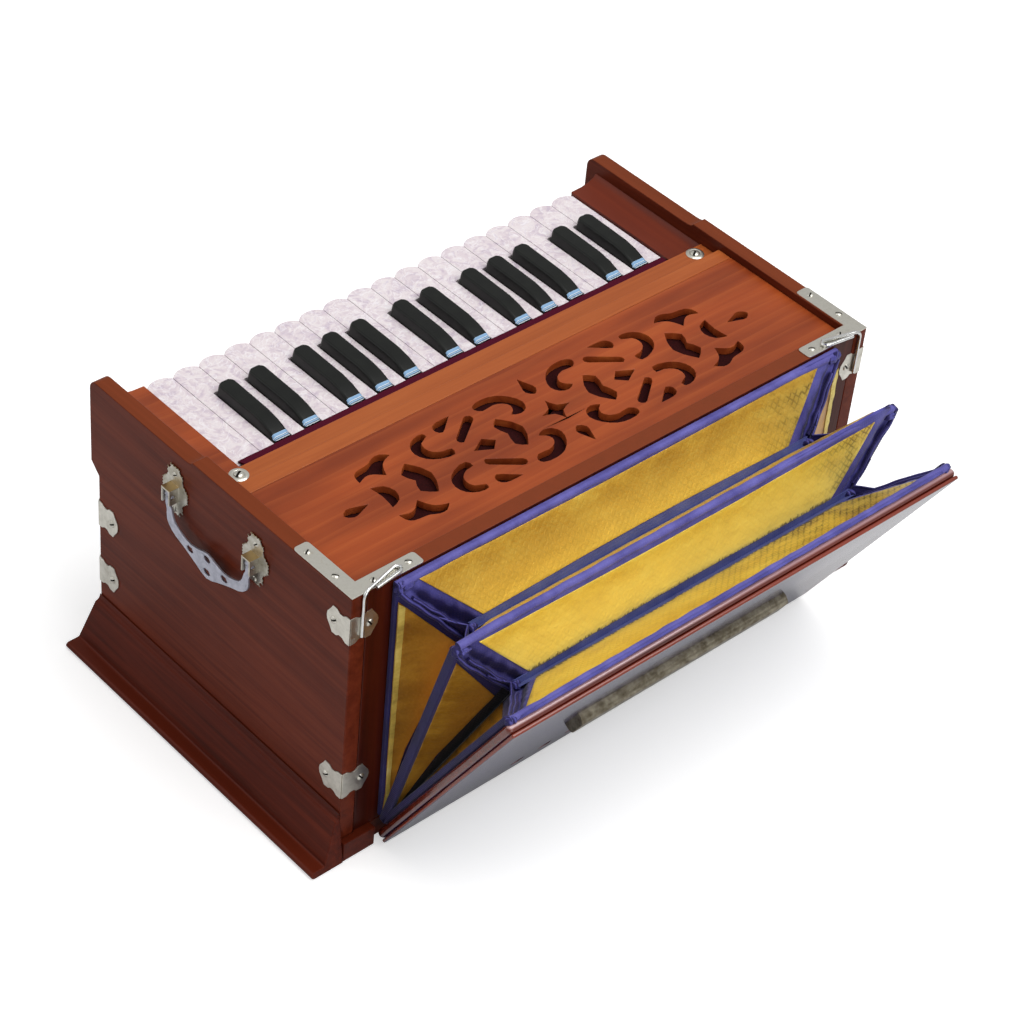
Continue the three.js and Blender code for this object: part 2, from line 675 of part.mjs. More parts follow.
const fold = (start, end, startOff, endOff, valleyTop) => {
  const rings = (inset) => [
    foldRing(bellowsHalf, bellowsTop, inset, start, startOff),
    foldRing(valleyHalf, valleyTop, inset, (start + end) / 2, 0),
    foldRing(bellowsHalf, bellowsTop, inset, end, endOff),
  ];
  return skin([...rings(0), ...rings(foldThick).reverse()], true);
};
const bellowsBoard = () => {
  const shape = rectangle(boardRound - boardHalf, boardHalf - boardRound, boardFoot + boardRound,
    boardTop - boardRound);
  const slabWithEdge = new THREE.ExtrudeGeometry(shape, {
    depth: boardThick - 2 * boardRound, bevelThickness: boardRound, bevelSize: boardRound, bevelSegments: 3,
  }).translate(0, 0, boardRound);
  const holes = Array.from({ length: intakeCount }, (_, k) => {
    const x = (k - (intakeCount - 1) / 2) * intakePitch;
    return alongZ(circle(x, intakeRise, intakeRadius), -fit, boardThick + fit, 5);
  });
  return cutFrom(slabWithEdge, ...holes);
};
const grip = () => {
  const near = boardThick + fit;
  const far = near + gripThick;
  const bottom = gripTop - gripHigh;
  const middle = (near + far) / 2;
  const face = gripTop - gripGroove;
  const profile = [[bottom, near], [gripTop, near], [gripTop, middle], [face, middle + gripGroove],
    [face, far - gripChamfer], [face - gripChamfer, far], [bottom + gripChamfer, far],
    [bottom, far - gripChamfer]];
  return alongX(polygon(profile), -gripHalf, gripHalf);
};

// Stop knobs that slide through the front panel
const knob = () => {
  const head = knobProfileShares.map(([deep, wide]) => [knobRadius * wide, knobOut + knobDepth * deep]);
  return turned([[0, -stemLength], [stemRadius, -stemLength], [stemRadius, knobOut], ...head,
    [0, knobOut + knobDepth]], 14);
};

const colours = {
  side: 0x5f3a30, top: 0x9a4f2b, plinth: 0x55261a, panel: 0x8a4327, inner: 0xb98a5c,
  white: 0xe4d9dc, black: 0x1c1f1c, nickel: 0xc9c4b4, brass: 0xc8a24a, cloth: 0x4b3f8c, gold: 0xc79a2b,
  board: 0x6a2a1c, grip: 0x8f8672,
};
const two = (k) => String(k).padStart(2, '0');

const harmonium = new THREE.Group();
harmonium.name = 'indian_harmonium';
const add = (name, geometry, colour) => harmonium.add(piece(name, geometry, colour));
const addPair = (name, geometry, colour) => {
  add(`bass_${name}`, geometry, colour);
  add(`treble_${name}`, mirrored(geometry), colour);
};
const addLeaning = (name, geometry, colour, degrees) => {
  const mesh = piece(name, geometry, colour);
  mesh.position.set(0, hingeY, hingeZ);
  mesh.rotation.x = quarterTurn + THREE.MathUtils.degToRad(degrees);
  harmonium.add(mesh);
};

addPair('side_panel', sidePanel(), colours.side);
addPair('plinth', plinth(), colours.plinth);
add('floor_board', floorBoard(), colours.plinth);
add('rear_panel', rearPanel(), colours.panel);
add('front_panel', frontPanel(), colours.top);
add('key_bed', keyBed(), colours.inner);
add('reed_bank', reedBank(), colours.brass);
addPair('key_block', keyBlock(), colours.top);
add('key_rail', rail(), colours.top);
add('fretwork_board', fretwork(), colours.top);
addPair('latch', latch(), colours.nickel);
addPair('front_escutcheon', frontEscutcheon(), colours.nickel);
addPair('rear_escutcheon', rearEscutcheon(), colours.nickel);
addPair('handle', bail(), colours.nickel);
for (let k = 0; k < whiteCount; k += 1) add(`white_key_${two(whiteCount - k)}`, whiteKey(k), colours.white);
blackX.forEach((x, k) => add(`black_key_${two(blackX.length - k)}`, blackKey(x), colours.black));

const halfway = openAngle / 2;
const besideRidge = ridgeThick / 2 + fit;
const caseFrame = alongZ(frameShape(frameBar), hingeY - rearFace + fit, 0);
const ridgeFrame = alongZ(frameShape(ridgeBar), -ridgeThick / 2, ridgeThick / 2);
addLeaning('bellows_case_frame', caseFrame, colours.cloth, 0);
const innerFolds = fold(0, halfway, fit, -besideRidge, bellowsTop - innerValleyDrop);
const outerFolds = fold(halfway, openAngle, besideRidge, -fit, bellowsTop - outerValleyDrop);
add('bellows_inner_folds', innerFolds, colours.gold);
addLeaning('bellows_ridge_frame', ridgeFrame, colours.cloth, halfway);
add('bellows_outer_folds', outerFolds, colours.gold);
addLeaning('bellows_board', bellowsBoard(), colours.board, openAngle);
addLeaning('bellows_grip', grip(), colours.grip, openAngle);
knobSpots.forEach((x, k) => {
  const mesh = piece(`stop_knob_${k + 1}`, knob(), colours.black);
  mesh.position.set(x, playerFace, knobHeight);
  harmonium.add(mesh);
});

export default harmonium;
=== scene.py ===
# Hand-pumped harmonium with its bellows open, seen from above the bellows side
import json
import math
import bpy
import bmesh
from mathutils import Matrix, Vector, noise
from mathutils.geometry import intersect_point_line

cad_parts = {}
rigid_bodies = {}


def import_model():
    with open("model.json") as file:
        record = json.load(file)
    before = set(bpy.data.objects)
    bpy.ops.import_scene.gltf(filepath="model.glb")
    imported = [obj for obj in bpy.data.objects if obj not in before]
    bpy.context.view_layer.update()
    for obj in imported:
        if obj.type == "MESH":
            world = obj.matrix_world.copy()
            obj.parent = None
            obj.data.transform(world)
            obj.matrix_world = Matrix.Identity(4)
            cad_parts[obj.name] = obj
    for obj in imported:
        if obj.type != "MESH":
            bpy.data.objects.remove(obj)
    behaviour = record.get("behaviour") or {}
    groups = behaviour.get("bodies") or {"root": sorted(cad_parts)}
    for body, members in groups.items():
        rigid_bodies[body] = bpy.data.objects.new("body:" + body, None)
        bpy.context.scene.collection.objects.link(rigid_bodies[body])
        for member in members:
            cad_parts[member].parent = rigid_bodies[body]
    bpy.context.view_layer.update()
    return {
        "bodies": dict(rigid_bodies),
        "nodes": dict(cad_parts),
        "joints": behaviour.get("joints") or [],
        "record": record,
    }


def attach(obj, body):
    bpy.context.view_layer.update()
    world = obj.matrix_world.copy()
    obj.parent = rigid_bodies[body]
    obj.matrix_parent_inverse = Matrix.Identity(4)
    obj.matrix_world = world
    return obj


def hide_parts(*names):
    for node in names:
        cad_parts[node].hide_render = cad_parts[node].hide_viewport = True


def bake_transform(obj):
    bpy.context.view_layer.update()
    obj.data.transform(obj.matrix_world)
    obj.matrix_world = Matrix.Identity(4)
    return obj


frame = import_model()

mm = 0.001
case, ridgeBody, boardBody = "case", "bellows_ridge", "bellows_outer_board"
ends = {"bass": 1, "treble": -1}

# Camera, lamps and floor
viewpoint = {"place": (-1.12853, -1.13463, 1.47622), "azimuth": -45.711, "elevation": 40.768, "roll": 5.969,
             "lens": 101.26, "sensor": 36}


def aimedCamera(settings):
    turn = Matrix.Rotation(math.radians(settings["azimuth"]), 4, "Z")
    tilt = Matrix.Rotation(math.radians(90 - settings["elevation"]), 4, "X")
    roll = Matrix.Rotation(math.radians(settings["roll"]), 4, "Z")
    lens = bpy.data.cameras.new("camera")
    lens.lens, lens.sensor_width = settings["lens"], settings["sensor"]
    camera = bpy.data.objects.new("camera", lens)
    camera.matrix_world = Matrix.Translation(settings["place"]) @ turn @ tilt @ roll
    bpy.context.collection.objects.link(camera)
    bpy.context.scene.camera = camera


aimedCamera(viewpoint)
bpy.context.scene.view_settings.view_transform = "Standard"

lampAim = (0, 0, 0.1)
lamps = {
    "above": {"place": (0.35, -0.7, 2.0), "size": 1.5, "power": 30},
    "player": {"place": (-1.6, 1.2, 1.6), "size": 1.8, "power": 9},
    "bellowsSide": {"place": (-0.3, -2.4, 0.9), "size": 1.6, "power": 12},
}


def softLamp(name, settings):
    lamp = bpy.data.lights.new(name, "AREA")
    lamp.size, lamp.energy = settings["size"], settings["power"]
    aim = (Vector(lampAim) - Vector(settings["place"])).to_track_quat("-Z", "Y").to_matrix().to_4x4()
    held = bpy.data.objects.new(name, lamp)
    held.matrix_world = Matrix.Translation(settings["place"]) @ aim
    bpy.context.collection.objects.link(held)


for name, settings in lamps.items():
    softLamp(name, settings)


def linear(hexColour):
    parts = [int(hexColour[k:k + 2], 16) / 255 for k in (1, 3, 5)]
    return (*[c / 12.92 if c <= 0.04045 else ((c + 0.055) / 1.055) ** 2.4 for c in parts], 1)


def fill(tree, node, inputs):
    # each input is linked to another node's output, or set to a number or a hex colour
    for socket, value in inputs.items():
        if isinstance(value, bpy.types.NodeSocket):
            tree.links.new(value, node.inputs[socket])
        else:
            node.inputs[socket].default_value = linear(value) if isinstance(value, str) else value


def addNode(tree, kind, inputs=None, output=0, stops=(), **settings):
    # adds a node with its settings, colour stops and links, and gives back the output that is wanted of it
    node = tree.nodes.new("ShaderNode" + kind)
    for name, value in settings.items():
        setattr(node, name, value)
    if stops:
        elements = node.color_ramp.elements
        while len(elements) < len(stops):
            elements.new(0.5)
        for element, (place, colour) in zip(elements, stops):
            element.position, element.color = place, linear(colour)
    fill(tree, node, inputs or {})
    return node.outputs[output] if node.outputs else node


def newMaterial(name, inputs):
    # inputs are the shader's values that are the same all over the surface
    material = bpy.data.materials.new(name)
    material.use_nodes = True
    tree = material.node_tree
    tree.nodes.clear()
    surface = addNode(tree, "BsdfPrincipled", inputs)
    addNode(tree, "OutputMaterial", {"Surface": surface})
    return material, tree, surface.node


def meshOf(bm, name):
    mesh = bpy.data.meshes.new(name)
    bm.to_mesh(mesh)
    bm.free()
    return mesh


room = {"light": 0.42, "mirrored": 0.6}
floorLook = {"half": 4, "drop": 0.4, "glow": 0.45}


def whiteRoom():
    # white where the camera sees it, plainer as light, and between the two in what metal mirrors
    world = bpy.data.worlds.new("studio")
    bpy.context.scene.world = world
    world.use_nodes = True
    tree = world.node_tree
    tree.nodes.clear()
    rays = addNode(tree, "LightPath").node.outputs
    light = addNode(tree, "MapRange", {0: rays["Is Glossy Ray"], 3: room["light"], 4: room["mirrored"]})
    strength = addNode(tree, "Math", {0: light, 1: rays["Is Camera Ray"]}, operation="MAXIMUM")
    sky = addNode(tree, "Background", {"Color": "#ffffff", "Strength": strength})
    addNode(tree, "OutputWorld", {"Surface": sky})


def floorPlane():
    bm = bmesh.new()
    bmesh.ops.create_grid(bm, x_segments=1, y_segments=1, size=floorLook["half"])
    bmesh.ops.translate(bm, verts=bm.verts, vec=(0, 0, -floorLook["drop"] * mm))
    mesh = meshOf(bm, "floor")
    plane = bpy.data.objects.new("floor", mesh)
    bpy.context.collection.objects.link(plane)
    # flat white that keeps the shadow
    material, tree, shader = newMaterial("white painted floor", {
        "Base Color": "#eeeeee", "Roughness": 0.9, "Specular IOR Level": 0.0, "Emission Color": "#ffffff"})
    seen = addNode(tree, "LightPath", output="Is Camera Ray")
    fill(tree, shader, {"Emission Strength": addNode(tree, "MapRange", {0: seen, 3: 0.0, 4: floorLook["glow"]})})
    mesh.materials.append(material)


whiteRoom()
floorPlane()
print("camera, lamps and floor are in place")


# Materials
def objectPlace(tree, sizes=(1000, 1000, 1000), turn=(0, 0, 0)):
    # the place on the object, counted in patterns of these sizes in mm along X, Y and Z
    place = addNode(tree, "TexCoord", output="Object")
    return addNode(tree, "Mapping", {"Vector": place, "Scale": [1 / (size * mm) for size in sizes],
                                     "Rotation": turn})


def measured(tree, kind, output, axis):
    # one axis of the object's place or of the way that a face looks
    return addNode(tree, "SeparateXYZ", {0: addNode(tree, kind, output=output)}, axis)


def facingUp(tree, low=0.55, high=0.85):
    return addNode(tree, "MapRange", {0: measured(tree, "NewGeometry", "Normal", "Z"), 1: low, 2: high})


woods = {
    # stained and lacquered timber: long soft streaks under a clear film; top is the tone painted on faces that look
    # up, for the light from above, under the painted shade on faces that look down, and streak is how wide the grain
    # is in mm
    "side": {
        "name": "side mahogany, stained and lacquered",
        "dark": "#45160a", "middle": "#5a2212", "pale": "#6e2e1b", "top": "#7e3d20", "along": 1, "streak": 8,
        "rough": 0.36, "shine": 0.06, "film": 0.03, "pores": 0.4},
    "plinth": {
        "name": "plinth mahogany, stained and lacquered",
        "dark": "#361008", "middle": "#4c190d", "pale": "#602312", "top": "#602312", "along": 1, "streak": 6,
        "rough": 0.32, "shine": 0.08, "film": 0.03, "pores": 0.5},
    # the rear panel's tones are painted darker for the shade the open bellows casts on it; the front panel shares them
    "rear": {
        "name": "rear panel mahogany, stained and lacquered",
        "dark": "#240803", "middle": "#3c1007", "pale": "#4e190b", "top": "#8a4120", "along": 2, "streak": 9,
        "rough": 0.36, "shine": 0.12, "film": 0.03, "pores": 0.3},
    "top": {
        "name": "top board teak, stained and lacquered",
        "dark": "#72290f", "middle": "#96411b", "pale": "#b35b29", "top": "#9c461e", "along": 0, "streak": 9,
        "rough": 0.42, "shine": 0.2, "film": 0.05, "pores": 0.5, "figure": "#63240f"},
    # the bass key block's tones are painted darker, for the shade it lies in
    "block": {
        "name": "bass block teak, darker stained and lacquered",
        "dark": "#45140a", "middle": "#5e200f", "pale": "#7a3218", "top": "#6c2812", "along": 1, "streak": 9,
        "rough": 0.42, "shine": 0.2, "film": 0.05, "pores": 0.5},
    "rail": {
        "name": "rail teak, stained and lacquered",
        "dark": "#7c3715", "middle": "#9f5024", "pale": "#b86833", "top": "#a45528", "along": 0, "streak": 5,
        "rough": 0.42, "shine": 0.2, "film": 0.06, "pores": 0.6},
    # the board's pale pink top is a painted highlight, the reflection in the lacquer on the bead's upper faces; its
    # dark violet under is painted shade with a bluish painted reflection on the board's outer face
    "board": {
        "name": "board rosewood, stained and polished",
        "dark": "#330c06", "middle": "#561a0e", "pale": "#6e2716", "top": "#c8a0a2", "paintedLightFrom": (0.66, 0.9),
        "under": "#1c1640", "along": 0, "streak": 6, "rough": 0.2, "shine": 0.5, "film": 0.5, "pores": 0.2},
    # the back layer's plainer top keeps the pink painted highlight off it; its violet under is the same painted shade
    "boardBack": {
        "name": "board back rosewood, stained and polished",
        "dark": "#4a1409", "middle": "#6e2410", "pale": "#843018", "top": "#7e3320", "under": "#1c1640",
        "along": 0, "streak": 6, "rough": 0.24, "shine": 0.4, "film": 0.4, "pores": 0.2},
    "inner": {
        "name": "inner pine, planed",
        "dark": "#9a754b", "middle": "#b88f60", "pale": "#cba877", "top": "#b88f60", "along": 1, "streak": 5,
        "rough": 0.7, "shine": 0.3, "film": 0.0, "pores": 0.8},
}
# how many times as long as wide a streak is, and a pore's width and length against a streak's width
grainShape = {"streak": 28.57, "pore": 1 / 6, "poreLength": 6.25}


def figured(tree, tone, dark):
    # broad darker bands and the long pointed rings of flat-sawn timber
    bands = addNode(tree, "TexNoise", {"Vector": objectPlace(tree, (200, 38.46, 38.46)), "Scale": 1.0,
                                       "Detail": 3.0, "Roughness": 0.5})
    shade = addNode(tree, "MapRange", {0: bands, 1: 0.42, 2: 0.64, 3: 0.0, 4: 0.62})
    rings = addNode(tree, "TexWave", {"Vector": objectPlace(tree, (142.9, 23.81, 23.81)), "Scale": 0.6,
                                      "Distortion": 5.0, "Detail": 2.0, "Detail Scale": 0.9},
                    "Fac", bands_direction="Y", wave_profile="SAW")
    line = addNode(tree, "MapRange", {0: rings, 1: 0.72, 2: 1.0, 3: 0.0, 4: 0.2})
    banded = addNode(tree, "Mix", {0: shade, 6: tone, 7: dark}, 2, data_type="RGBA")
    return addNode(tree, "Mix", {0: line, 6: banded, 7: "#b8602f"}, 2, data_type="RGBA")


def stainedWood(look):
    material, tree, shader = newMaterial(look["name"], {
        "Roughness": look["rough"], "Specular IOR Level": look["shine"], "IOR": 1.5, "Coat Weight": look["film"],
        "Coat Roughness": 0.12})
    streak, along = look["streak"], look["along"]
    wide, fine = [streak] * 3, [streak * grainShape["pore"]] * 3
    wide[along], fine[along] = streak * grainShape["streak"], streak * grainShape["poreLength"]
    streaks = addNode(tree, "TexNoise", {"Vector": objectPlace(tree, wide), "Scale": 1.0, "Detail": 5.0,
                                         "Roughness": 0.62, "Distortion": 0.6})
    pores = addNode(tree, "TexNoise", {"Vector": objectPlace(tree, fine), "Scale": 1.0, "Detail": 3.0,
                                       "Roughness": 0.7})
    patches = addNode(tree, "TexNoise", {"Vector": objectPlace(tree, [142.9] * 3), "Scale": 1.0, "Detail": 2.0})
    grain = addNode(tree, "ValToRGB", {0: streaks}, stops=[(0.3, look["dark"]), (0.5, look["middle"]),
                                                           (0.72, look["pale"])])
    poreShade = addNode(tree, "MapRange", {0: pores, 1: 0.35, 2: 0.6, 3: look["pores"] * 0.3, 4: 0.0})
    darker = addNode(tree, "Mix", {0: poreShade, 6: grain, 7: look["dark"]}, 2, data_type="RGBA")
    patchShade = addNode(tree, "MapRange", {0: patches, 1: 0.35, 2: 0.7, 3: 0.0, 4: 0.35})
    patched = addNode(tree, "Mix", {0: patchShade, 6: darker, 7: look["pale"]}, 2, data_type="RGBA")
    # faces that look up are drawn towards the top tone: painted light from above
    upper = facingUp(tree, *look.get("paintedLightFrom", (0.55, 0.85)))
    litFromAbove = addNode(tree, "Math", {0: upper, 1: 0.62}, operation="MULTIPLY")
    tone = addNode(tree, "Mix", {0: litFromAbove, 6: patched, 7: look["top"]}, 2, data_type="RGBA")
    if "figure" in look:
        tone = figured(tree, tone, look["figure"])
    # faces that look down are drawn towards the under tone: painted shade
    if "under" in look:
        tone = addNode(tree, "Mix", {0: facingUp(tree, -0.2, -0.45), 6: tone, 7: look["under"]}, 2,
                       data_type="RGBA")
    fill(tree, shader, {"Base Color": tone, "Normal": addNode(tree, "Bump", {
        "Height": pores, "Distance": 0.12 * mm, "Strength": 0.35})})
    return material


metals = {
    # tones from clean to dull, roughness, what rubbing adds to it, and the tarnish of faces that look up
    "nickel": ("nickel plate on steel, buffed", ("#d6d3c9", "#c6c3b9", "#a39a88"), 0.3, 0.2),
    "wire": ("steel wire, drawn and plated", ("#e2e2e0", "#cfd0cf", "#b5b3ad"), 0.16, 0.12),
    # the handle's lilac-grey tones are a painted reflection of bluish surroundings in the satin nickel
    "bail": ("handle nickel, stamped and satin", ("#b9bac6", "#a6a8b4", "#8f8f97"), 0.42, 0.15),
    "boss": ("boss nickel, cast and tarnished", ("#c2bfb6", "#a9a496", "#8d7d5e"), 0.34, 0.2, "#b39a6e"),
    "grip": ("grip nickel, aged", ("#8d8676", "#655d4e", "#3b3429"), 0.32, 0.22),
    "reed": ("reed brass, rolled", ("#d8b866", "#c29c46", "#8e7030"), 0.3, 0.15),
}


def platedMetal(name, tones, roughness, wear, tarnish=None):
    # bright plate with faint rubbing and a few dull spots
    material, tree, shader = newMaterial(name, {"Metallic": 1.0})
    spots = addNode(tree, "TexNoise", {"Vector": objectPlace(tree, [6.25] * 3), "Scale": 1.0, "Detail": 4.0,
                                       "Roughness": 0.65})
    rubbed = addNode(tree, "MapRange", {0: spots, 1: 0.4, 2: 0.75, 3: roughness, 4: roughness + wear})
    tint = addNode(tree, "ValToRGB", {0: spots}, stops=list(zip((0.35, 0.62, 0.85), tones)))
    if tarnish:
        tint = addNode(tree, "Mix", {0: facingUp(tree), 6: tint, 7: tarnish}, 2, data_type="RGBA")
    fill(tree, shader, {"Base Color": tint, "Roughness": rubbed, "Normal": addNode(tree, "Bump", {
        "Height": spots, "Distance": 0.08 * mm, "Strength": 0.3})})
    return material


def pearlCelluloid():
    # celluloid sheet with pearl flake: pale pink and lilac clouds and wandering veins under a gloss skin
    material, tree, shader = newMaterial("pearl celluloid, pressed sheet", {
        "Roughness": 0.34, "IOR": 1.5, "Coat Weight": 0.15})
    place = objectPlace(tree, [13.33] * 3)
    drift = addNode(tree, "TexNoise", {"Vector": place, "Scale": 0.9, "Detail": 4.0}, "Color")
    bent = addNode(tree, "VectorMath", {0: place, 1: drift}, operation="ADD")
    clouds = addNode(tree, "TexNoise", {"Vector": bent, "Scale": 1.3, "Detail": 4.0, "Distortion": 1.6})
    veins = addNode(tree, "TexNoise", {"Vector": bent, "Scale": 0.8, "Detail": 2.0, "Distortion": 2.4})
    base = addNode(tree, "ValToRGB", {0: clouds}, stops=[(0.3, "#c9bac7"), (0.47, "#ddd0d5"), (0.6, "#e8dfe0"),
                                                         (0.76, "#d3c7d4")])
    apart = addNode(tree, "Math", {0: veins, 1: 0.5}, operation="SUBTRACT")
    away = addNode(tree, "Math", {0: apart}, operation="ABSOLUTE")
    line = addNode(tree, "MapRange", {0: away, 1: 0.0, 2: 0.035, 3: 0.55, 4: 0.0})
    fill(tree, shader, {"Base Color": addNode(tree, "Mix", {0: line, 6: base, 7: "#f8f5f8"}, 2, data_type="RGBA")})
    return material


stripes = {
    # where the striped paper starts and ends along a sharp and how high it starts, in mm; its bands as shares
    "start": 35.3, "end": 40.2, "low": 218,
    "bands": [(0.0, "#0d1116"), (0.08, "#dfe9f2"), (0.17, "#2f4d6b"), (0.24, "#8fb2d2"), (0.42, "#20384f"),
              (0.47, "#dde8f2"), (0.55, "#85abcf"), (0.93, "#9dbcd8"), (0.98, "#151a18")]}


def blackSharp():
    # green-black moulded cap, satin on top, with a pale blue striped paper at the rear slope
    material, tree, shader = newMaterial("sharp cap, moulded phenolic", {
        "Roughness": 0.4, "IOR": 1.5, "Specular IOR Level": 0.25})
    depth = measured(tree, "TexCoord", "Object", "Y")
    height = measured(tree, "TexCoord", "Object", "Z")
    lean = measured(tree, "NewGeometry", "Normal", "Z")
    along = addNode(tree, "MapRange", {0: depth, 1: stripes["start"] * mm, 2: stripes["end"] * mm})
    banded = addNode(tree, "ValToRGB", {0: along}, stops=stripes["bands"])
    banded.node.color_ramp.interpolation = "CONSTANT"
    clouds = addNode(tree, "TexNoise", {"Vector": objectPlace(tree, [8.333] * 3), "Scale": 1.0, "Detail": 3.0})
    body = addNode(tree, "ValToRGB", {0: clouds}, stops=[(0.35, "#060806"), (0.7, "#0d100c")])
    band = addNode(tree, "Math", {0: depth, 1: stripes["end"] * mm}, operation="LESS_THAN")
    for value, least in ((height, stripes["low"] * mm), (lean, 0.35)):
        above = addNode(tree, "Math", {0: value, 1: least}, operation="GREATER_THAN")
        band = addNode(tree, "Math", {0: band, 1: above}, operation="MULTIPLY")
    fill(tree, shader, {
        "Base Color": addNode(tree, "Mix", {0: band, 6: body, 7: banded}, 2, data_type="RGBA"),
        "Normal": addNode(tree, "Bump", {"Height": clouds, "Distance": 0.1 * mm, "Strength": 0.2})})
    return material


waveRepeat = 0.318  # metres from one crest of a wave texture of scale 1 to the next
cloths = {
    # tones on faces that look up, and darker tones painted as shade on faces that look sideways
    "cloth": ("bellows binding cloth, woven and pasted", ("#37347a", "#5856a2"), ("#161040", "#211a58")),
    "beadCloth": ("bead binding cloth, woven and rolled", ("#464287", "#6662ac"), ("#17123e", "#231d58")),
    # the side bands take dark tones on every face: painted shade of the bellows' sides
    "bandCloth": ("side band cloth, woven and pasted", ("#1b1444", "#281f5c"), ("#140e38", "#1e174e")),
    # the near-black sideways tones are painted shade deep in the valleys
    "valleyCloth": ("valley binding cloth, woven and pasted", ("#3a4180", "#555d98"), ("#0b0a12", "#14131c")),
}


def bindingCloth(name, litTones, deep):
    # woven cloth pasted over card: its thread of about 0.5 mm is drawn 1 mm wide, as coarse as it needs to show
    material, tree, shader = newMaterial(name, {
        "Roughness": 0.62, "Specular IOR Level": 0.3, "Sheen Weight": 0.12, "Sheen Roughness": 0.4})
    thread = 1.0
    warp, weft = (addNode(tree, "TexWave", {"Vector": objectPlace(tree), "Scale": waveRepeat / (2 * thread * mm),
                                            "Distortion": 1.5, "Detail": 2.0}, "Fac", bands_direction=direction)
                  for direction in ("X", "Z"))
    weave = addNode(tree, "Math", {0: warp, 1: weft}, operation="MULTIPLY")
    clouds = addNode(tree, "TexNoise", {"Vector": objectPlace(tree, [18.18] * 3), "Scale": 1.0, "Detail": 6.0,
                                        "Roughness": 0.6})
    upper, lower = (addNode(tree, "ValToRGB", {0: clouds}, stops=list(zip((0.3, 0.7), tones)))
                    for tones in (litTones, deep))
    # faces that look sideways take the deep tones: painted shade
    sideways = addNode(tree, "Math", {0: measured(tree, "NewGeometry", "Normal", "X")}, operation="ABSOLUTE")
    lean = addNode(tree, "MapRange", {0: sideways, 1: 0.12, 2: 0.36})
    relief = addNode(tree, "Math", {0: weave, 1: 0.35, 2: clouds}, operation="MULTIPLY_ADD")
    fill(tree, shader, {
        "Base Color": addNode(tree, "Mix", {0: lean, 6: upper, 7: lower}, 2, data_type="RGBA"),
        "Normal": addNode(tree, "Bump", {"Height": relief, "Distance": 0.5 * mm, "Strength": 0.6})})
    return material


foils = {
    # tones from scuffed to bright; the colour painted near the valley as a highlight and how much of it; an embossed
    # net:
    # its pitch, how it lies, how dark its lines are and where along X they reach full strength, a growth that is
    # painted dark reflection; frayed threads along the valley edge
    "gold": {
        "name": "gold foil, net embossed and pasted on card", "tones": ("#b98a2a", "#cb9f35", "#dbb648", "#f0d878"),
        "valley": "#f4da70", "valleyHighlight": 0.8, "metal": 0.5, "mesh": 4.4, "lie": 0.1, "dark": (0.1, 0.75),
        "full": (110, 175)},
    # this copy's lighter tones are painted light on the well lit outer ridge face
    "brightGold": {
        "name": "gold foil painted lighter, net embossed and pasted on card",
        "tones": ("#d0a234", "#eac64a", "#f5d860", "#fdec90"), "valley": "#fff08c", "valleyHighlight": 0.8, "metal": 0.35,
        "mesh": 4.4, "lie": 0, "dark": (0.06, 0.75), "full": (110, 170), "fray": 0.22},
    # the board-side top shares those painted lighter tones
    "boardGold": {
        "name": "board-side gold foil, net embossed and pasted on card",
        "tones": ("#d0a234", "#eac64a", "#f5d860", "#fdec90"), "valley": "#f8e47c", "valleyHighlight": 0.5, "metal": 0.35,
        "mesh": 4.4, "lie": -0.92, "dark": (0.12, 0.85), "full": (-40, 130), "fray": 0.26, "least": 0.4},
    # the side cards' darker tones are painted shade
    "sideGold": {
        "name": "side gold foil painted darker, pitted and rubbed on card", "tones": ("#80500f", "#a8761c", "#c8962e", "#dfb84c"),
        "valley": "#f0b854", "valleyHighlight": 0.9, "metal": 0.5, "fray": 0.16},
    # painted darker for the shade of the sides, as the other side cards
    "sideMeshGold": {
        "name": "side gold foil painted darker, net embossed on card", "tones": ("#8c5c12", "#b48220", "#cc9e34", "#e0b850"),
        "valley": "#cf9a3a", "valleyHighlight": 0.4, "metal": 0.5, "mesh": 5.2, "dark": (0.62, 0.62), "full": (0, 1),
        "least": 0.8, "fray": 0.2},
    # the flange's pale tones are a painted highlight on the folded lip
    "flangeGold": {
        "name": "flange gold foil, folded over card", "tones": ("#9a8440", "#d8c060", "#f0de84", "#fff4b8"),
        "valley": "#f0dc84", "valleyHighlight": 0.3, "metal": 0.3},
}
# the net's lines lie at 45 degrees, in radians
slanted = 0.785


def netLines(tree, look):
    # a diamond net: along X and up a leaning card, or along Y and Z on a side card
    if "lie" in look:
        level = objectPlace(tree, turn=(look["lie"], 0, 0))
        place, directions = addNode(tree, "Mapping", {"Vector": level, "Rotation": (0, slanted, 0)}), ("X", "Z")
    else:
        place, directions = objectPlace(tree, turn=(slanted, 0, 0)), ("Y", "Z")
    waves = [addNode(tree, "TexWave", {"Vector": place, "Scale": waveRepeat / (look["mesh"] * mm), "Distortion": 2.0,
                                       "Detail": 2.0, "Detail Scale": 1.6}, "Fac", bands_direction=direction)
             for direction in directions]
    lines = [addNode(tree, "MapRange", {0: wave, 1: 0.7, 2: 0.93}) for wave in waves]
    return addNode(tree, "Math", {0: lines[0], 1: lines[1]}, operation="MAXIMUM")


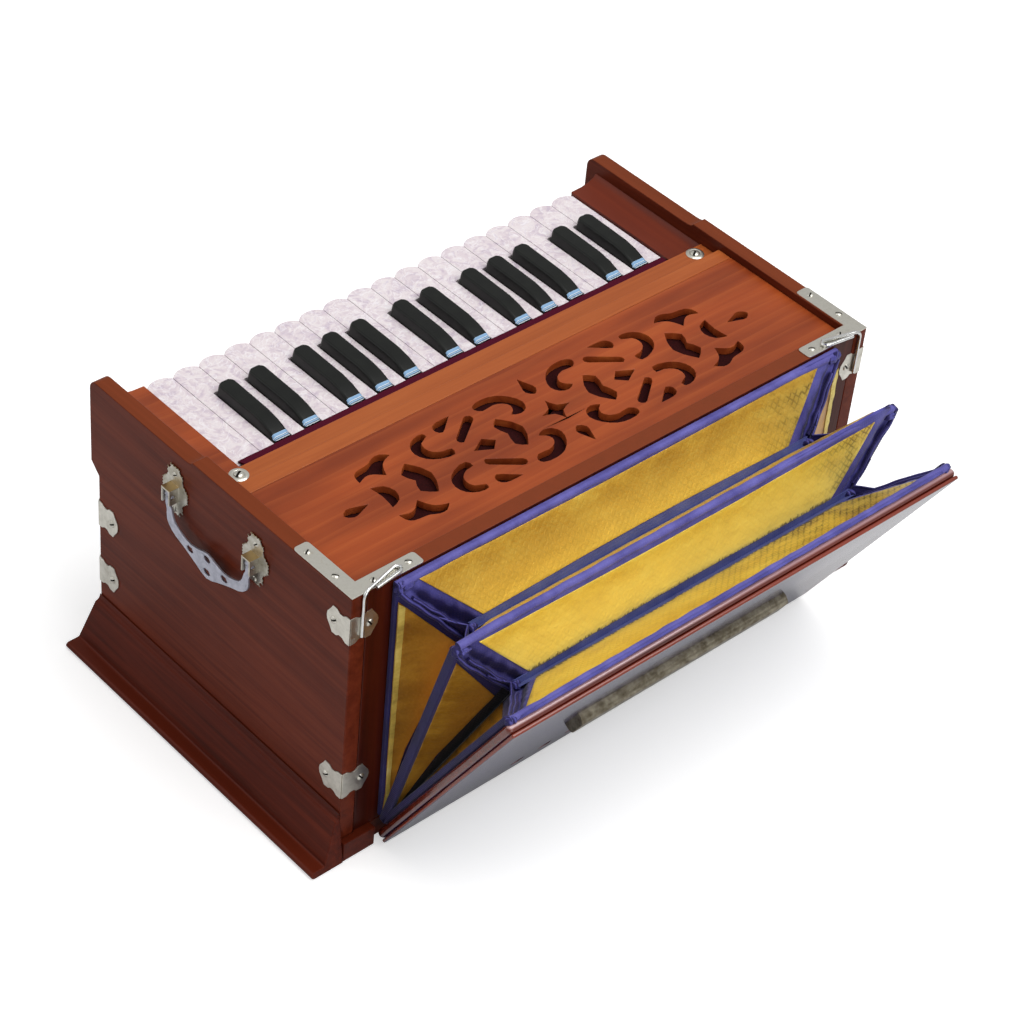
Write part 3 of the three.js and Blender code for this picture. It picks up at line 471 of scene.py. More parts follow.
def netShade(tree, look, net):
    # the net's lines are the foil's own emboss; their darkening, growing along X towards the bass end and in patches,
    # is partly wear and partly painted dark reflection
    start, full = look["full"]
    strength = addNode(tree, "MapRange", {0: measured(tree, "TexCoord", "Object", "X"), 1: start * mm, 2: full * mm,
                                          3: look["dark"][0], 4: look["dark"][1]})
    wearAndReflection = addNode(tree, "TexNoise", {"Vector": objectPlace(tree, (14.29, 9.091, 9.091)), "Scale": 1.0,
                                      "Detail": 3.0})
    patchy = addNode(tree, "MapRange", {0: wearAndReflection, 1: 0.4, 2: 0.58, 3: look.get("least", 0.1), 4: 1.0})
    cells = addNode(tree, "Math", {0: net, 1: 0.6, 2: 0.4}, operation="MULTIPLY_ADD")
    uneven = addNode(tree, "Math", {0: patchy, 1: cells}, operation="MULTIPLY")
    return addNode(tree, "Math", {0: strength, 1: uneven}, operation="MULTIPLY")


def frayed(tree, near, reach):
    # loose dark threads of the net that lies under the foil, along its valley edge
    threads = addNode(tree, "TexNoise", {"Vector": objectPlace(tree, (1.923, 11.11, 11.11)), "Scale": 1.0,
                                         "Detail": 3.0, "Roughness": 0.7})
    uneven = addNode(tree, "Math", {0: threads, 1: reach, 2: near}, operation="MULTIPLY_ADD")
    return addNode(tree, "MapRange", {0: uneven, 1: 0.97, 2: 1.0, 4: 0.75})


def goldFoil(look):
    # hot-stamped gold foil on card: metal bright, pitted about every 2 mm, with long soft dents from the paste
    material, tree, shader = newMaterial(look["name"], {"Metallic": look["metal"]})
    pits = addNode(tree, "TexVoronoi", {"Vector": objectPlace(tree), "Scale": 1 / (2.2 * mm)}, "Distance",
                   feature="SMOOTH_F1")
    dents = addNode(tree, "TexNoise", {"Vector": objectPlace(tree, (33.33, 13.33, 13.33)), "Scale": 1.0,
                                       "Detail": 4.0, "Roughness": 0.55})
    scuffs = addNode(tree, "TexNoise", {"Vector": objectPlace(tree, (62.5, 29.41, 29.41)), "Scale": 1.0,
                                        "Detail": 6.0, "Roughness": 0.72})
    near = addNode(tree, "Attribute", output="Fac", attribute_name="valleyward")
    tone = addNode(tree, "ValToRGB", {0: scuffs}, stops=list(zip((0.3, 0.5, 0.66, 0.8), look["tones"])))
    # near the valley the tone is drawn to the valley colour: a painted highlight
    valleyHighlight = addNode(tree, "MapRange", {0: near, 1: 0.15, 2: 0.85, 3: 0.0, 4: look["valleyHighlight"]})
    tone = addNode(tree, "Mix", {0: valleyHighlight, 6: tone, 7: look["valley"]}, 2, data_type="RGBA")
    relief = addNode(tree, "Math", {0: pits, 1: 0.4, 2: dents}, operation="MULTIPLY_ADD")
    if "mesh" in look:
        net = netLines(tree, look)
        relief = addNode(tree, "Math", {0: net, 1: -0.13, 2: relief}, operation="MULTIPLY_ADD")
        tone = addNode(tree, "Mix", {0: netShade(tree, look, net), 6: tone, 7: "#4a3410"}, 2, data_type="RGBA")
    if "fray" in look:
        tone = addNode(tree, "Mix", {0: frayed(tree, near, look["fray"]), 6: tone, 7: "#2b2b3c"}, 2,
                       data_type="RGBA")
    fill(tree, shader, {
        "Base Color": tone, "Roughness": addNode(tree, "MapRange", {0: scuffs, 1: 0.3, 2: 0.8, 3: 0.32, 4: 0.5}),
        "Normal": addNode(tree, "Bump", {"Height": relief, "Distance": 0.8 * mm, "Strength": 0.6})})
    return material


mattes = {
    # the dark and the pale of the fibre and its length in mm
    "felt": ("key felt, pressed wool", "#3c0519", "#570b26", 0.7),
    # the screw slots' dark is painted shade in the recess
    "slotShade": ("screw slot, painted shade", "#14110f", "#2b2622", 0.3),
    # the lining's near-black reds are red cotton darkened with painted shade of the case's inside
    "lining": ("grille lining, red cotton", "#1c0304", "#360809", 0.9),
}


def mattFibre(name, dark, pale, fibre):
    # pressed felt, cotton, and the painted shade in screw slots: matt, with loose fibre
    material, tree, shader = newMaterial(name, {"Roughness": 0.92, "Specular IOR Level": 0.15})
    loose = addNode(tree, "TexNoise", {"Vector": objectPlace(tree), "Scale": 1 / (fibre * mm), "Detail": 4.0,
                                       "Roughness": 0.7})
    fill(tree, shader, {
        "Base Color": addNode(tree, "ValToRGB", {0: loose}, stops=[(0.3, dark), (0.7, pale)]),
        "Normal": addNode(tree, "Bump", {"Height": loose, "Distance": 0.5 * mm, "Strength": 0.6})})
    return material


def turnedKnob():
    # turned knob under black lacquer: glossy, with faint brown clouds
    material, tree, shader = newMaterial("knob beech, turned and black lacquered", {
        "Roughness": 0.2, "Coat Weight": 0.5})
    clouds = addNode(tree, "TexNoise", {"Vector": objectPlace(tree, [11.11] * 3), "Scale": 1.0})
    fill(tree, shader, {"Base Color": addNode(tree, "ValToRGB", {0: clouds},
                                              stops=[(0.3, "#0f0e0d"), (0.7, "#1c1a18")])})
    return material


finish = {key: stainedWood(look) for key, look in woods.items()}
finish.update((key, platedMetal(*look)) for key, look in metals.items())
finish.update(pearl=pearlCelluloid(), sharp=blackSharp())
finish.update((key, bindingCloth(*look)) for key, look in cloths.items())
finish.update((key, goldFoil(look)) for key, look in foils.items())
finish.update((key, mattFibre(*look)) for key, look in mattes.items())
finish["knob"] = turnedKnob()
print("materials are made")


# Helpers that make pieces
def shown(mesh, name, body, material, replaces=(), sharp=30, even=False, bent=None, second=None):
    piece = bpy.data.objects.new(name, mesh)
    bpy.context.collection.objects.link(piece)
    kept = [face.material_index if second else 0 for face in mesh.polygons]
    mesh.materials.clear()  # this also sets every face back to the first finish
    mesh.materials.append(finish[material])
    if second:
        mesh.materials.append(finish[second])
    mesh.polygons.foreach_set("material_index", kept)
    mesh.polygons.foreach_set("use_smooth", [True] * len(mesh.polygons))
    mesh.set_sharp_from_angle(angle=math.radians(sharp))
    if even:
        piece.modifiers.new("even normals", "WEIGHTED_NORMAL").keep_sharp = True
    if replaces:
        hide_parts(*replaces)
    if bent:
        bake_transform(piece)
    else:
        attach(piece, body)


def finished(bm, name, body, material, **options):
    bmesh.ops.recalc_face_normals(bm, faces=bm.faces)
    shown(meshOf(bm, name), name, body, material, **options)


def nodeCopy(node):
    bm = bmesh.new()
    bm.from_mesh(frame["nodes"][node].data)
    bmesh.ops.remove_doubles(bm, verts=bm.verts, dist=0.002 * mm)
    bmesh.ops.dissolve_limit(bm, angle_limit=math.radians(0.5), verts=bm.verts, edges=bm.edges)
    return bm


def bevelled(bm, ease, among=None):
    # ease is how far the edges are eased in mm, the angle in degrees from which an edge is eased, and the steps
    width, sharper, steps = ease
    edges = [e for e in bm.edges if e.is_manifold and e.calc_face_angle() > math.radians(sharper)
             and (among is None or among(e))]
    bmesh.ops.bevel(bm, geom=edges, offset=width * mm, affect="EDGES", segments=steps, profile=0.5, material=-1,
                    clamp_overlap=False)
    return bm


def softNode(node, body, material, ease):
    finished(bevelled(nodeCopy(node), ease), node + "_soft", body, material, replaces=(node,), even=True)


def carriedOver(node, material):
    mesh = frame["nodes"][node].data
    mesh.materials.clear()
    mesh.materials.append(finish[material])


def block(bm, low, high):
    made = bmesh.ops.create_cube(bm, size=1)["verts"]
    bmesh.ops.scale(bm, vec=[(b - a) * mm for a, b in zip(low, high)], verts=made)
    bmesh.ops.translate(bm, vec=[(a + b) / 2 * mm for a, b in zip(low, high)], verts=made)
    return made


def plateOf(outline, offset, ease):
    # a plate from its outline and the way to its other face, with its edges eased
    bm = bmesh.new()
    face = bm.faces.new([bm.verts.new(place) for place in outline])
    raised = bmesh.ops.extrude_face_region(bm, geom=[face])["geom"]
    bmesh.ops.translate(bm, vec=offset, verts=[g for g in raised if isinstance(g, bmesh.types.BMVert)])
    return bevelled(bm, ease)


def turnedPiece(outline, centre, axis, steps):
    # spins an outline about an axis and closes what stays open
    bm = bmesh.new()
    verts = [bm.verts.new(place) for place in outline]
    edges = [bm.edges.new(pair) for pair in zip(verts, verts[1:])]
    bmesh.ops.spin(bm, geom=verts + edges, cent=centre, axis=axis, angle=2 * math.pi, steps=steps)
    bmesh.ops.remove_doubles(bm, verts=bm.verts, dist=0.01 * mm)
    bmesh.ops.holes_fill(bm, edges=[e for e in bm.edges if e.is_boundary])
    return bm


def thickSheet(bm, outward, thick):
    # gives a sheet its thickness on the side away from outward
    faces = bm.faces[:]
    bmesh.ops.recalc_face_normals(bm, faces=faces)
    if sum((f.normal for f in faces), Vector()).dot(outward) < 0:
        bmesh.ops.reverse_faces(bm, faces=faces)
    bmesh.ops.solidify(bm, geom=faces, thickness=thick * mm)


def ripple(place, length):
    return noise.noise(place / (length * mm))


# shakes and swellings to a metre of a rolled cloth, and how far it swells at a wobble of 1; without the seed,
# Blender's vector noise, and so each roll's shakes, would be another at every start
rolled = {"shakes": 90, "swells": 60, "swelling": 0.35, "seed": 7}
noise.seed_set(rolled["seed"])


def tube(path, radius, name, wobble=0.0, seed=0.0, sides=5):
    curve = bpy.data.curves.new(name, "CURVE")
    curve.dimensions = "3D"
    curve.bevel_depth = radius * mm
    curve.bevel_resolution = sides
    curve.use_fill_caps = True
    spline = curve.splines.new("POLY")
    spline.points.add(len(path) - 1)
    for k, place in enumerate(path):
        shake = noise.noise_vector(place * rolled["shakes"] + Vector((seed, seed, seed))) * wobble * mm
        swell = noise.noise(place * rolled["swells"] + Vector((0, seed, 0)))
        spline.points[k].co = (*(place + shake), 1)
        spline.points[k].radius = 1 + wobble * rolled["swelling"] * swell
    holder = bpy.data.objects.new(name, curve)
    mesh = bpy.data.meshes.new_from_object(holder)
    bpy.data.objects.remove(holder)
    bpy.data.curves.remove(curve)
    return mesh


def between(points, step):
    path = []
    for a, b in zip(points, points[1:]):
        count = max(1, round((b - a).length / (step * mm)))
        path += [a.lerp(b, k / count) for k in range(count)]
    return path + [points[-1]]


def cornerArc(before, corner, after, radius, steps):
    start = corner + (before - corner).normalized() * radius
    end = corner + (after - corner).normalized() * radius
    return [start.lerp(corner, k / steps).lerp(corner.lerp(end, k / steps), k / steps) for k in range(steps + 1)]


def rounded(points, radius, steps):
    path = [points[0]]
    for before, corner, after in zip(points, points[1:], points[2:]):
        path += cornerArc(before, corner, after, radius * mm, steps)
    return path + [points[-1]]


# shares of the head's radius: its rise, its slot and how high the slot's ends stay; turns are in radians
screwLook = {"rise": 0.42, "slotWidth": 0.46, "slotDepth": 0.6, "slotEnds": 0.5, "sides": 20, "rings": 10,
             "turn": 0.5, "nextTurn": 1.7}


def addScrew(bm, place, outward, radius, turn):
    part = bmesh.new()
    bmesh.ops.create_uvsphere(part, u_segments=screwLook["sides"], v_segments=screwLook["rings"], radius=1)
    half, floor = screwLook["slotWidth"] / 2, 1 - screwLook["slotDepth"]
    for spot, normal, clear in (((0, 0, 0), (0, 0, -1), True), ((0, -half, 0), (0, -1, 0), False),
                                ((0, half, 0), (0, 1, 0), False)):
        bmesh.ops.bisect_plane(part, geom=part.verts[:] + part.edges[:] + part.faces[:], plane_co=spot,
                               plane_no=normal, clear_outer=clear)
    strip = [f for f in part.faces if abs(f.calc_center_median().y) < half]
    lowered = bmesh.ops.extrude_face_region(part, geom=strip)["geom"]
    bmesh.ops.delete(part, geom=strip, context="FACES_ONLY")
    # the slot's faces take the second finish, the slots' painted shade
    for face in (g for g in lowered if isinstance(g, bmesh.types.BMFace)):
        face.material_index = 1
    for vert in (g for g in lowered if isinstance(g, bmesh.types.BMVert)):
        vert.co.z = floor if vert.co.z > floor else vert.co.z * screwLook["slotEnds"]
    stand = Vector(outward).to_track_quat("Z", "Y").to_matrix().to_4x4()
    size = Matrix.Diagonal((radius * mm, radius * mm, radius * screwLook["rise"] * mm, 1))
    part.transform(Matrix.Translation([c * mm for c in place]) @ stand @ Matrix.Rotation(turn, 4, "Z") @ size)
    mesh = meshOf(part, "screw")
    bm.from_mesh(mesh)
    bpy.data.meshes.remove(mesh)


def screws(name, spots, radius):
    bm = bmesh.new()
    for k, (place, outward) in enumerate(spots):
        addScrew(bm, place, outward, radius, screwLook["turn"] + screwLook["nextTurn"] * k)
    finished(bm, name, case, "nickel", sharp=40, second="slotShade")


# Case
caseEase = {"panel": (0.7, 40, 3), "joinery": (0.6, 35, 3), "fretwork": (0.35, 60, 2), "rear": (0.6, 50, 3)}
for end in ends:
    softNode(end + "_side_panel", case, "side", caseEase["panel"])
    softNode(end + "_plinth", case, "plinth", caseEase["joinery"])
    # the bass key block takes the block finish, painted darker for its shade
    softNode(end + "_key_block", case, "block" if end == "bass" else "top", caseEase["joinery"])
for node, material, ease in (("floor_board", "plinth", "joinery"), ("rear_panel", "rear", "rear"),
                             ("front_panel", "rear", "rear"), ("key_rail", "rail", "joinery"),
                             ("fretwork_board", "top", "fretwork")):
    softNode(node, case, material, caseEase[ease])
carriedOver("key_bed", "inner")
carriedOver("reed_bank", "reed")

# a dark red sheet under the fretwork: red cotton painted dark for the shade inside the case
lining = {"low": (-226.6, -122.3, 226.4), "high": (226.6, -11.2, 227.2)}


def grilleLining():
    bm = bmesh.new()
    block(bm, lining["low"], lining["high"])
    finished(bm, "grille_lining", case, "lining")


grilleLining()

felt = {"start": -200, "end": 200, "back": 12, "front": 33.2, "low": 217.8, "high": 219.9, "slant": 9, "wave": 0.3,
        "waveLength": 14, "seed": 3.1, "dent": 0.12, "dentLength": (9, 6), "columns": 160, "rows": 8,
        "ease": (0.5, 60, 3)}


def feltStrip():
    bm = bmesh.new()
    bmesh.ops.create_grid(bm, x_segments=felt["columns"], y_segments=felt["rows"], size=0.5)
    for vert in bm.verts:
        across = vert.co.y + 0.5
        start = felt["start"] + felt["slant"] * (1 - across)
        x = start + (felt["end"] - start) * (vert.co.x + 0.5)
        edge = felt["wave"] * noise.noise(Vector((x / felt["waveLength"], felt["seed"], across)))
        y = felt["back"] + (felt["front"] - felt["back"]) * across + edge
        dent = felt["dent"] * noise.noise(Vector((x / felt["dentLength"][0], y / felt["dentLength"][1], 0)))
        vert.co = Vector((x, y, felt["high"] + dent)) * mm
    thickSheet(bm, Vector((0, 0, 1)), felt["high"] - felt["low"])
    bevelled(bm, felt["ease"])
    finished(bm, "key_felt", case, "felt")


feltStrip()
print("case is made")

# Keys
keyCount = {"white": 18, "black": 12}
whiteEase = (0.35, 40, 3)
sharpLook = {"nose": (4.6, 25, 7), "noseFrom": 98.5, "upright": 0.8, "top": (1.5, 35, 4), "above": 217.5}
for number in range(1, keyCount["white"] + 1):
    node = f"white_key_{number:02d}"
    softNode(node, node, "pearl", whiteEase)


def sharpKey(number):
    node = f"black_key_{number:02d}"
    bm = nodeCopy(node)

    def atNose(edge):
        ahead = min(v.co.y for v in edge.verts) > sharpLook["noseFrom"] * mm
        return ahead and abs((edge.verts[0].co - edge.verts[1].co).normalized().z) > sharpLook["upright"]

    bevelled(bm, sharpLook["nose"], atNose)
    bevelled(bm, sharpLook["top"], lambda edge: max(v.co.z for v in edge.verts) > sharpLook["above"] * mm)
    finished(bm, node + "_soft", node, "sharp", replaces=(node,), even=True)


for number in range(1, keyCount["black"] + 1):
    sharpKey(number)
print("keys are made")

# Metalwork
plateLook = {"corner": (240, -136), "arm": 60.4, "wide": 12, "low": 239.62, "thick": 0.9, "ease": (0.25, 30, 2),
             "round": 3, "roundSteps": 5, "screw": 2.6,
             "screws": [(234.8, -84.2), (234.8, -112.6), (217.9, -130), (188.5, -130)]}
bracketLook = {
    # the leaf under the latch wire is thinner; a spot is its Y, its height and which way its front looks
    "wall": 240, "thick": 0.9, "underWire": 0.25, "ease": 0.22, "sharper": 40, "steps": 2, "screwAt": 16, "screw": 2.9,
    "outline": [(0, 11.5), (4, 11.5), (7, 9.4), (10.2, 9.2), (12.8, 11.4), (17.2, 11.6), (19.1, 8.2), (20.9, 5.6),
                (22.4, 3.4), (23, 0)],
    "spots": {"rearUpper": (-136, 211.3, -1), "rearLower": (-136, 69.5, -1), "playerUpper": (138, 121.8, 1),
              "playerLower": (138, 68.6, 1)}}
washerLook = {"spot": (214.3, 13.5), "low": 228, "steps": 36, "screw": 3.8, "screwRise": 0.7,
              "profile": [(0.5, 0), (7, 0), (7, 0.3), (6.2, 0.9), (5.1, 1.2), (4.1, 1.1), (3.4, 0.6), (0.5, 0.45)]}


def cornerPlate(end, side):
    x, y = plateLook["corner"]
    arm, wide, low, thick = plateLook["arm"], plateLook["wide"], plateLook["low"], plateLook["thick"]
    corners = [Vector(place) for place in ((x, y), (x, y + arm), (x - wide, y + arm), (x - wide, y + wide),
                                           (x - arm, y + wide), (x - arm, y))]
    outline = []
    for k, soft in enumerate((False, True, True, False, True, True)):
        outline += cornerArc(corners[k - 1], corners[k], corners[(k + 1) % len(corners)], plateLook["round"],
                             plateLook["roundSteps"]) if soft else [corners[k]]
    bm = plateOf([Vector((side * a, b, low)) * mm for a, b in outline], Vector((0, 0, thick)) * mm,
                 plateLook["ease"])
    finished(bm, end + "_corner_plate", case, "nickel", even=True)
    screws(end + "_corner_plate_screws", [((side * a, b, low + thick), (0, 0, 1)) for a, b in plateLook["screws"]],
           plateLook["screw"])


def cornerBracket(end, side, name):
    look = bracketLook
    y, z, out = look["spots"][name]
    wall, half = side * look["wall"], look["outline"]
    leaves = {
        "side": ((side, 0, 0), look["thick"], lambda a, b, h: Vector((wall + side * h, y - out * a, z + b)) * mm),
        "face": ((0, out, 0), look["underWire"] if name == "rearUpper" else look["thick"],
                 lambda a, b, h: Vector((wall - side * a, y + out * h, z + b)) * mm)}
    spots = []
    for leaf, (outward, thick, place) in leaves.items():
        outline = [place(a, b, 0) for a, b in half + [(a, -b) for a, b in reversed(half[:-1])]]
        ease = (min(look["ease"], thick / 3), look["sharper"], look["steps"])
        bm = plateOf(outline, place(0, 0, thick) - place(0, 0, 0), ease)
        finished(bm, f"{end}_{name}_bracket_{leaf}_leaf", case, "nickel", even=True)
        spots.append((place(look["screwAt"], 0, thick) / mm, outward))
    screws(f"{end}_{name}_bracket_screws", spots, look["screw"])


def cupWasher(end, side):
    x, y, low = side * washerLook["spot"][0], washerLook["spot"][1], washerLook["low"]
    outline = [Vector((x + r, y, low + h)) * mm for r, h in washerLook["profile"]]
    bm = turnedPiece(outline, Vector((x, y, 0)) * mm, (0, 0, 1), washerLook["steps"])
    finished(bm, end + "_cup_washer", case, "nickel", sharp=40)
    screws(end + "_cup_washer_screw", [((x, y, low + washerLook["screwRise"]), (0, 0, 1))], washerLook["screw"])


for end, side in ends.items():
    cornerPlate(end, side)
    cupWasher(end, side)
    for name in bracketLook["spots"]:
        cornerBracket(end, side, name)

handleLook = {"escutcheon": (0.16, 40, 2), "bail": (0.5, 40, 3), "spots": {"front": 48.15, "rear": -39.15},
              "face": 241.2, "height": 204.7, "screws": (13.4, -17), "screw": 2.2}
for end, side in ends.items():
    softNode(end + "_handle", end + "_handle", "bail", handleLook["bail"])
    for name in handleLook["spots"]:
        softNode(f"{end}_{name}_escutcheon", case, "boss", handleLook["escutcheon"])
    screws(end + "_escutcheon_screws", [((side * handleLook["face"], y, handleLook["height"] + rise), (side, 0, 0))
                                        for y in handleLook["spots"].values() for rise in handleLook["screws"]],
           handleLook["screw"])

latchLook = {"leg": (231.4, -137.6), "foot": 204.4, "top": 242.1, "bend": 6, "bendSteps": 8, "reach": 31.8,
             "swing": 8.2, "loop": -6, "loopOut": 3.6, "loopBend": 2.4, "loopSteps": 5, "back": (22.4, -3.2),
             "radius": 1.3, "sides": 6}


def wireLatch(end, side):
    look = latchLook
    (legX, legY), top, loop = look["leg"], look["top"], look["loop"]
    x, y = legX - look["reach"], legY + look["swing"]
    corners = [(legX, legY, look["foot"]), (legX, legY, top), (x, y, top), (x - look["loopOut"], y + loop / 2, top),
               (x, y + loop, top), (x + look["back"][0], y + loop + look["back"][1], top)]
    points = [Vector((side * a, b, c)) * mm for a, b, c in corners]
    leg = rounded(points[:3], look["bend"], look["bendSteps"])
    path = leg[:-1] + rounded(points[2:], look["loopBend"], look["loopSteps"])
    name = end + "_latch"
    shown(tube(path, look["radius"], name + "_wire", sides=look["sides"]), name + "_wire", name, "wire",
          replaces=(name,), sharp=50)


for end, side in ends.items():
    wireLatch(end, side)

knobLook = {"spots": (-130, 0, 130), "face": 138, "height": 112, "radius": 12, "out": 3, "deep": 20, "stem": 4,
            "stemLength": 46, "steps": 48,
            "profile": [(0, 0.5), (0.08, 0.46), (0.22, 0.46), (0.3, 0.6), (0.4, 0.88), (0.5, 1), (0.64, 1.03),
                        (0.78, 1), (0.9, 0.9), (0.97, 0.74), (1, 0.5)]}


def stopKnob(name, x):
    look = knobLook
    front, height = look["face"], look["height"]
    outline = [(look["stem"], front - look["stemLength"]), (look["stem"], front + look["out"])]
    outline += [(look["radius"] * wide, front + look["out"] + look["deep"] * deep) for deep, wide in look["profile"]]
    bm = turnedPiece([Vector((x + r, y, height)) * mm for r, y in outline], Vector((x, 0, height)) * mm,
                     (0, 1, 0), look["steps"])
    finished(bm, name + "_turned", name, "knob", replaces=(name,), sharp=35)


for number, x in enumerate(knobLook["spots"], 1):
    stopKnob(f"stop_knob_{number}", x)
print("metalwork and knobs are made")

# Bellows
hinge = Vector((0, -140, 8)) * mm
# bend is how far from the hinge, each way along a pair's middle lean, bendOf sets two points that it hands on with the
# pair's two bodies; shown takes them only as a sign to bake a piece where it stands. centre is a height inside the
# bellows
bellowsLook = {"half": 207, "top": 230, "foot": 14, "valleyHalf": 155, "step": 3.2, "bend": 22, "centre": 100}
halfFolds = {
    # each half of a fold: the lean of its frame and how far off that plane it starts; its valley's lean and height;
    # foils on top and at the sides; the cards' margins at the frame and the valley; the gaps at the cards' ends on
    # those two edges; the dark strips along the valley; the flange; the hem's depth below the mitre along its length
    "case_side": {"pair": "inner", "lean": 0, "off": 0.3, "valley": 7.5, "valleyTop": 182.4,
                  "foils": ("gold", "sideGold"), "topMargins": (4.8, 8.7), "sideMargins": (2.8, 8.5),
                  "treble": (14, 13.3), "bass": (20, 19.5), "side": (13.4, 19.5), "strips": (8.3, 5.5),
                  "flange": 1.6, "hem": ((0, 4.5), (0.13, 6.6), (0.41, 8.5), (0.75, 11), (1, 13))},
    "ridge_inner": {"pair": "inner", "lean": 15, "off": -1.1, "valley": 7.5, "valleyTop": 182.4,
                    "foils": ("gold", "sideGold"), "topMargins": (5, 2.5), "sideMargins": (5, 2.5),
                    "treble": (12, 12), "bass": (18, 16), "side": (16, 20), "strips": (2, 1.4),
                    "flange": 0, "hem": ((0, 7), (1, 13))},
    "ridge_outer": {"pair": "outer", "lean": 15, "off": 1.1, "valley": 22.5, "valleyTop": 177,
                    "foils": ("brightGold", "sideGold"), "topMargins": (8.2, 7.5), "sideMargins": (5.6, 11.9),
                    "treble": (12.3, 13.6), "bass": (20, 19.5), "side": (14.8, 21.4), "strips": (7.3, 11.2),
                    "flange": 0, "hem": ((0, 8), (0.18, 11), (0.59, 9.4), (1, 6.8))},
    "board_side": {"pair": "outer", "lean": 30, "off": -0.3, "valley": 22.5, "valleyTop": 177,
                   "foils": ("boardGold", "sideMeshGold"), "topMargins": (8, 7.5), "sideMargins": (8, 5.3),
                   "treble": (10, 16.2), "bass": (18, 16), "side": (16.5, 19.5), "strips": (7, 4.6),
                   "flange": 0, "hem": ((0, 3), (1, 6.8))},
}
pairs = {"inner": (case, ridgeBody, 7.5), "outer": (ridgeBody, boardBody, 22.5)}


def leaning(x, up, degrees, off=0.0):
    angle = math.radians(degrees)
    return hinge + Vector((x, -up * math.sin(angle) - off * math.cos(angle),
                           up * math.cos(angle) - off * math.sin(angle))) * mm


def leanPlace(degrees):
    # x along the hinge, y up the leaning plane, z off it towards the player's far side
    return Matrix.Translation(hinge) @ Matrix.Rotation(math.radians(90 + degrees), 4, "X")


def bendOf(pair):
    first, second, middle = pairs[pair]
    angle = math.radians(middle)
    across = Vector((0, -math.cos(angle), -math.sin(angle))) * bellowsLook["bend"] * mm
    return first, second, hinge - across, hinge + across


def foldCorners(fold, side):
    # frame edge low and high, then valley edge low and high; side 0 is the top
    look, half, top = halfFolds[fold], bellowsLook["half"], bellowsLook["top"]
    lean, off, valley = look["lean"], look["off"], look["valley"]
    inner, innerTop = bellowsLook["valleyHalf"], look["valleyTop"]
    if side:
        foot = bellowsLook["foot"]
        return (leaning(side * half, foot, lean, off), leaning(side * half, top, lean, off),
                leaning(side * half, foot, valley), leaning(side * inner, innerTop, valley))
    return (leaning(-half, top, lean, off), leaning(half, top, lean, off),
            leaning(-inner, innerTop, valley), leaning(inner, innerTop, valley))


def outwardOf(corners):
    middle = sum(corners, Vector()) / 4
    across = (corners[3] - corners[0]).cross(corners[1] - corners[2]).normalized()
    centre = Vector((0, middle.y, bellowsLook["centre"] * mm))
    return across if across.dot(middle - centre) > 0 else -across


def valleyward(mesh, fold, side):
    # stores how near each point lies to the valley, 0 at the frame and 1 in the valley
    low, high, valleyLow, valleyHigh = foldCorners(fold, side)
    shares = []
    for vert in mesh.vertices:
        near = (vert.co - intersect_point_line(vert.co, low, high)[0]).length
        far = (vert.co - intersect_point_line(vert.co, valleyLow, valleyHigh)[0]).length
        shares.append(near / (near + far))
    mesh.attributes.new("valleyward", "FLOAT", "POINT").data.foreach_set("value", shares)


def foldSheet(name, material, fold, side, gaps, look, span, rise):
    # a sheet on one face of a fold: gaps at its two ends, span across from the frame, rise off the face
    low, high, valleyLow, valleyHigh = foldCorners(fold, side)
    outward = outwardOf((low, high, valleyLow, valleyHigh))
    edges = []
    for k, (a, b) in enumerate(((low, high), (valleyLow, valleyHigh))):
        along = (b - a).normalized()
        edges.append((a + along * gaps[0][k] * mm, b - along * gaps[1][k] * mm))
    bm = bmesh.new()
    bmesh.ops.create_grid(bm, x_segments=round((high - low).length / (bellowsLook["step"] * mm)),
                          y_segments=look["rows"], size=0.5)
    for vert in bm.verts:
        t, share = vert.co.x + 0.5, vert.co.y + 0.5
        first, second = edges[0][0].lerp(edges[0][1], t), edges[1][0].lerp(edges[1][1], t)
        wide = (second - first).length / mm
        begin, end = span(wide)
        place = first.lerp(second, (begin + (end - begin) * share) / wide)
        vert.co = place + outward * rise(place, (end - begin) * share) * mm
    thickSheet(bm, outward, look["thick"])
    if "ease" in look:
        bevelled(bm, look["ease"])
    bmesh.ops.recalc_face_normals(bm, faces=bm.faces)
    mesh = meshOf(bm, name)
    valleyward(mesh, fold, side)
    shown(mesh, name, None, material, bent=bendOf(halfFolds[fold]["pair"]), sharp=50)


# most is the largest share of a face that a margin, the flange or a strip may take
cardLook = {"foot": (7, 7), "lift": 0.35, "thick": 1.0, "ease": (0.3, 60, 2), "wave": 0.38, "waveLength": 26,
            "dent": 0.12, "dentLength": 7, "rows": 16, "most": 0.3, "swell": 0.15, "least": -0.1}
flangeLook = {"wide": 6.4, "deep": 60, "thick": 0.5, "lift": 1.3, "ripple": 0.7, "rippleLength": 7, "rows": 4,
              "under": 0.2, "narrow": 0.45, "most": 0.4}
stripLook = {"lift": 0.3, "thick": 0.7, "rows": 3, "sideGap": 8, "wave": 0.12, "waveLength": 9, "most": 0.28}


def foilCard(fold, side, sideName):
    look, card = halfFolds[fold], cardLook
    margins = look["sideMargins" if side else "topMargins"]
    gaps = (card["foot"], look["side"]) if side else (look["treble"], look["bass"])

    def span(wide):
        return min(margins[0], wide * card["most"]), wide - min(margins[1], wide * card["most"])

    def rise(place, across):
        swell = card["wave"] * ripple(place, card["waveLength"]) + card["dent"] * ripple(place, card["dentLength"])
        return card["lift"] + max(swell + card["swell"], card["least"])

    foldSheet(f"{fold}_{sideName}_card", look["foils"][1 if side else 0], fold, side, gaps, card, span, rise)


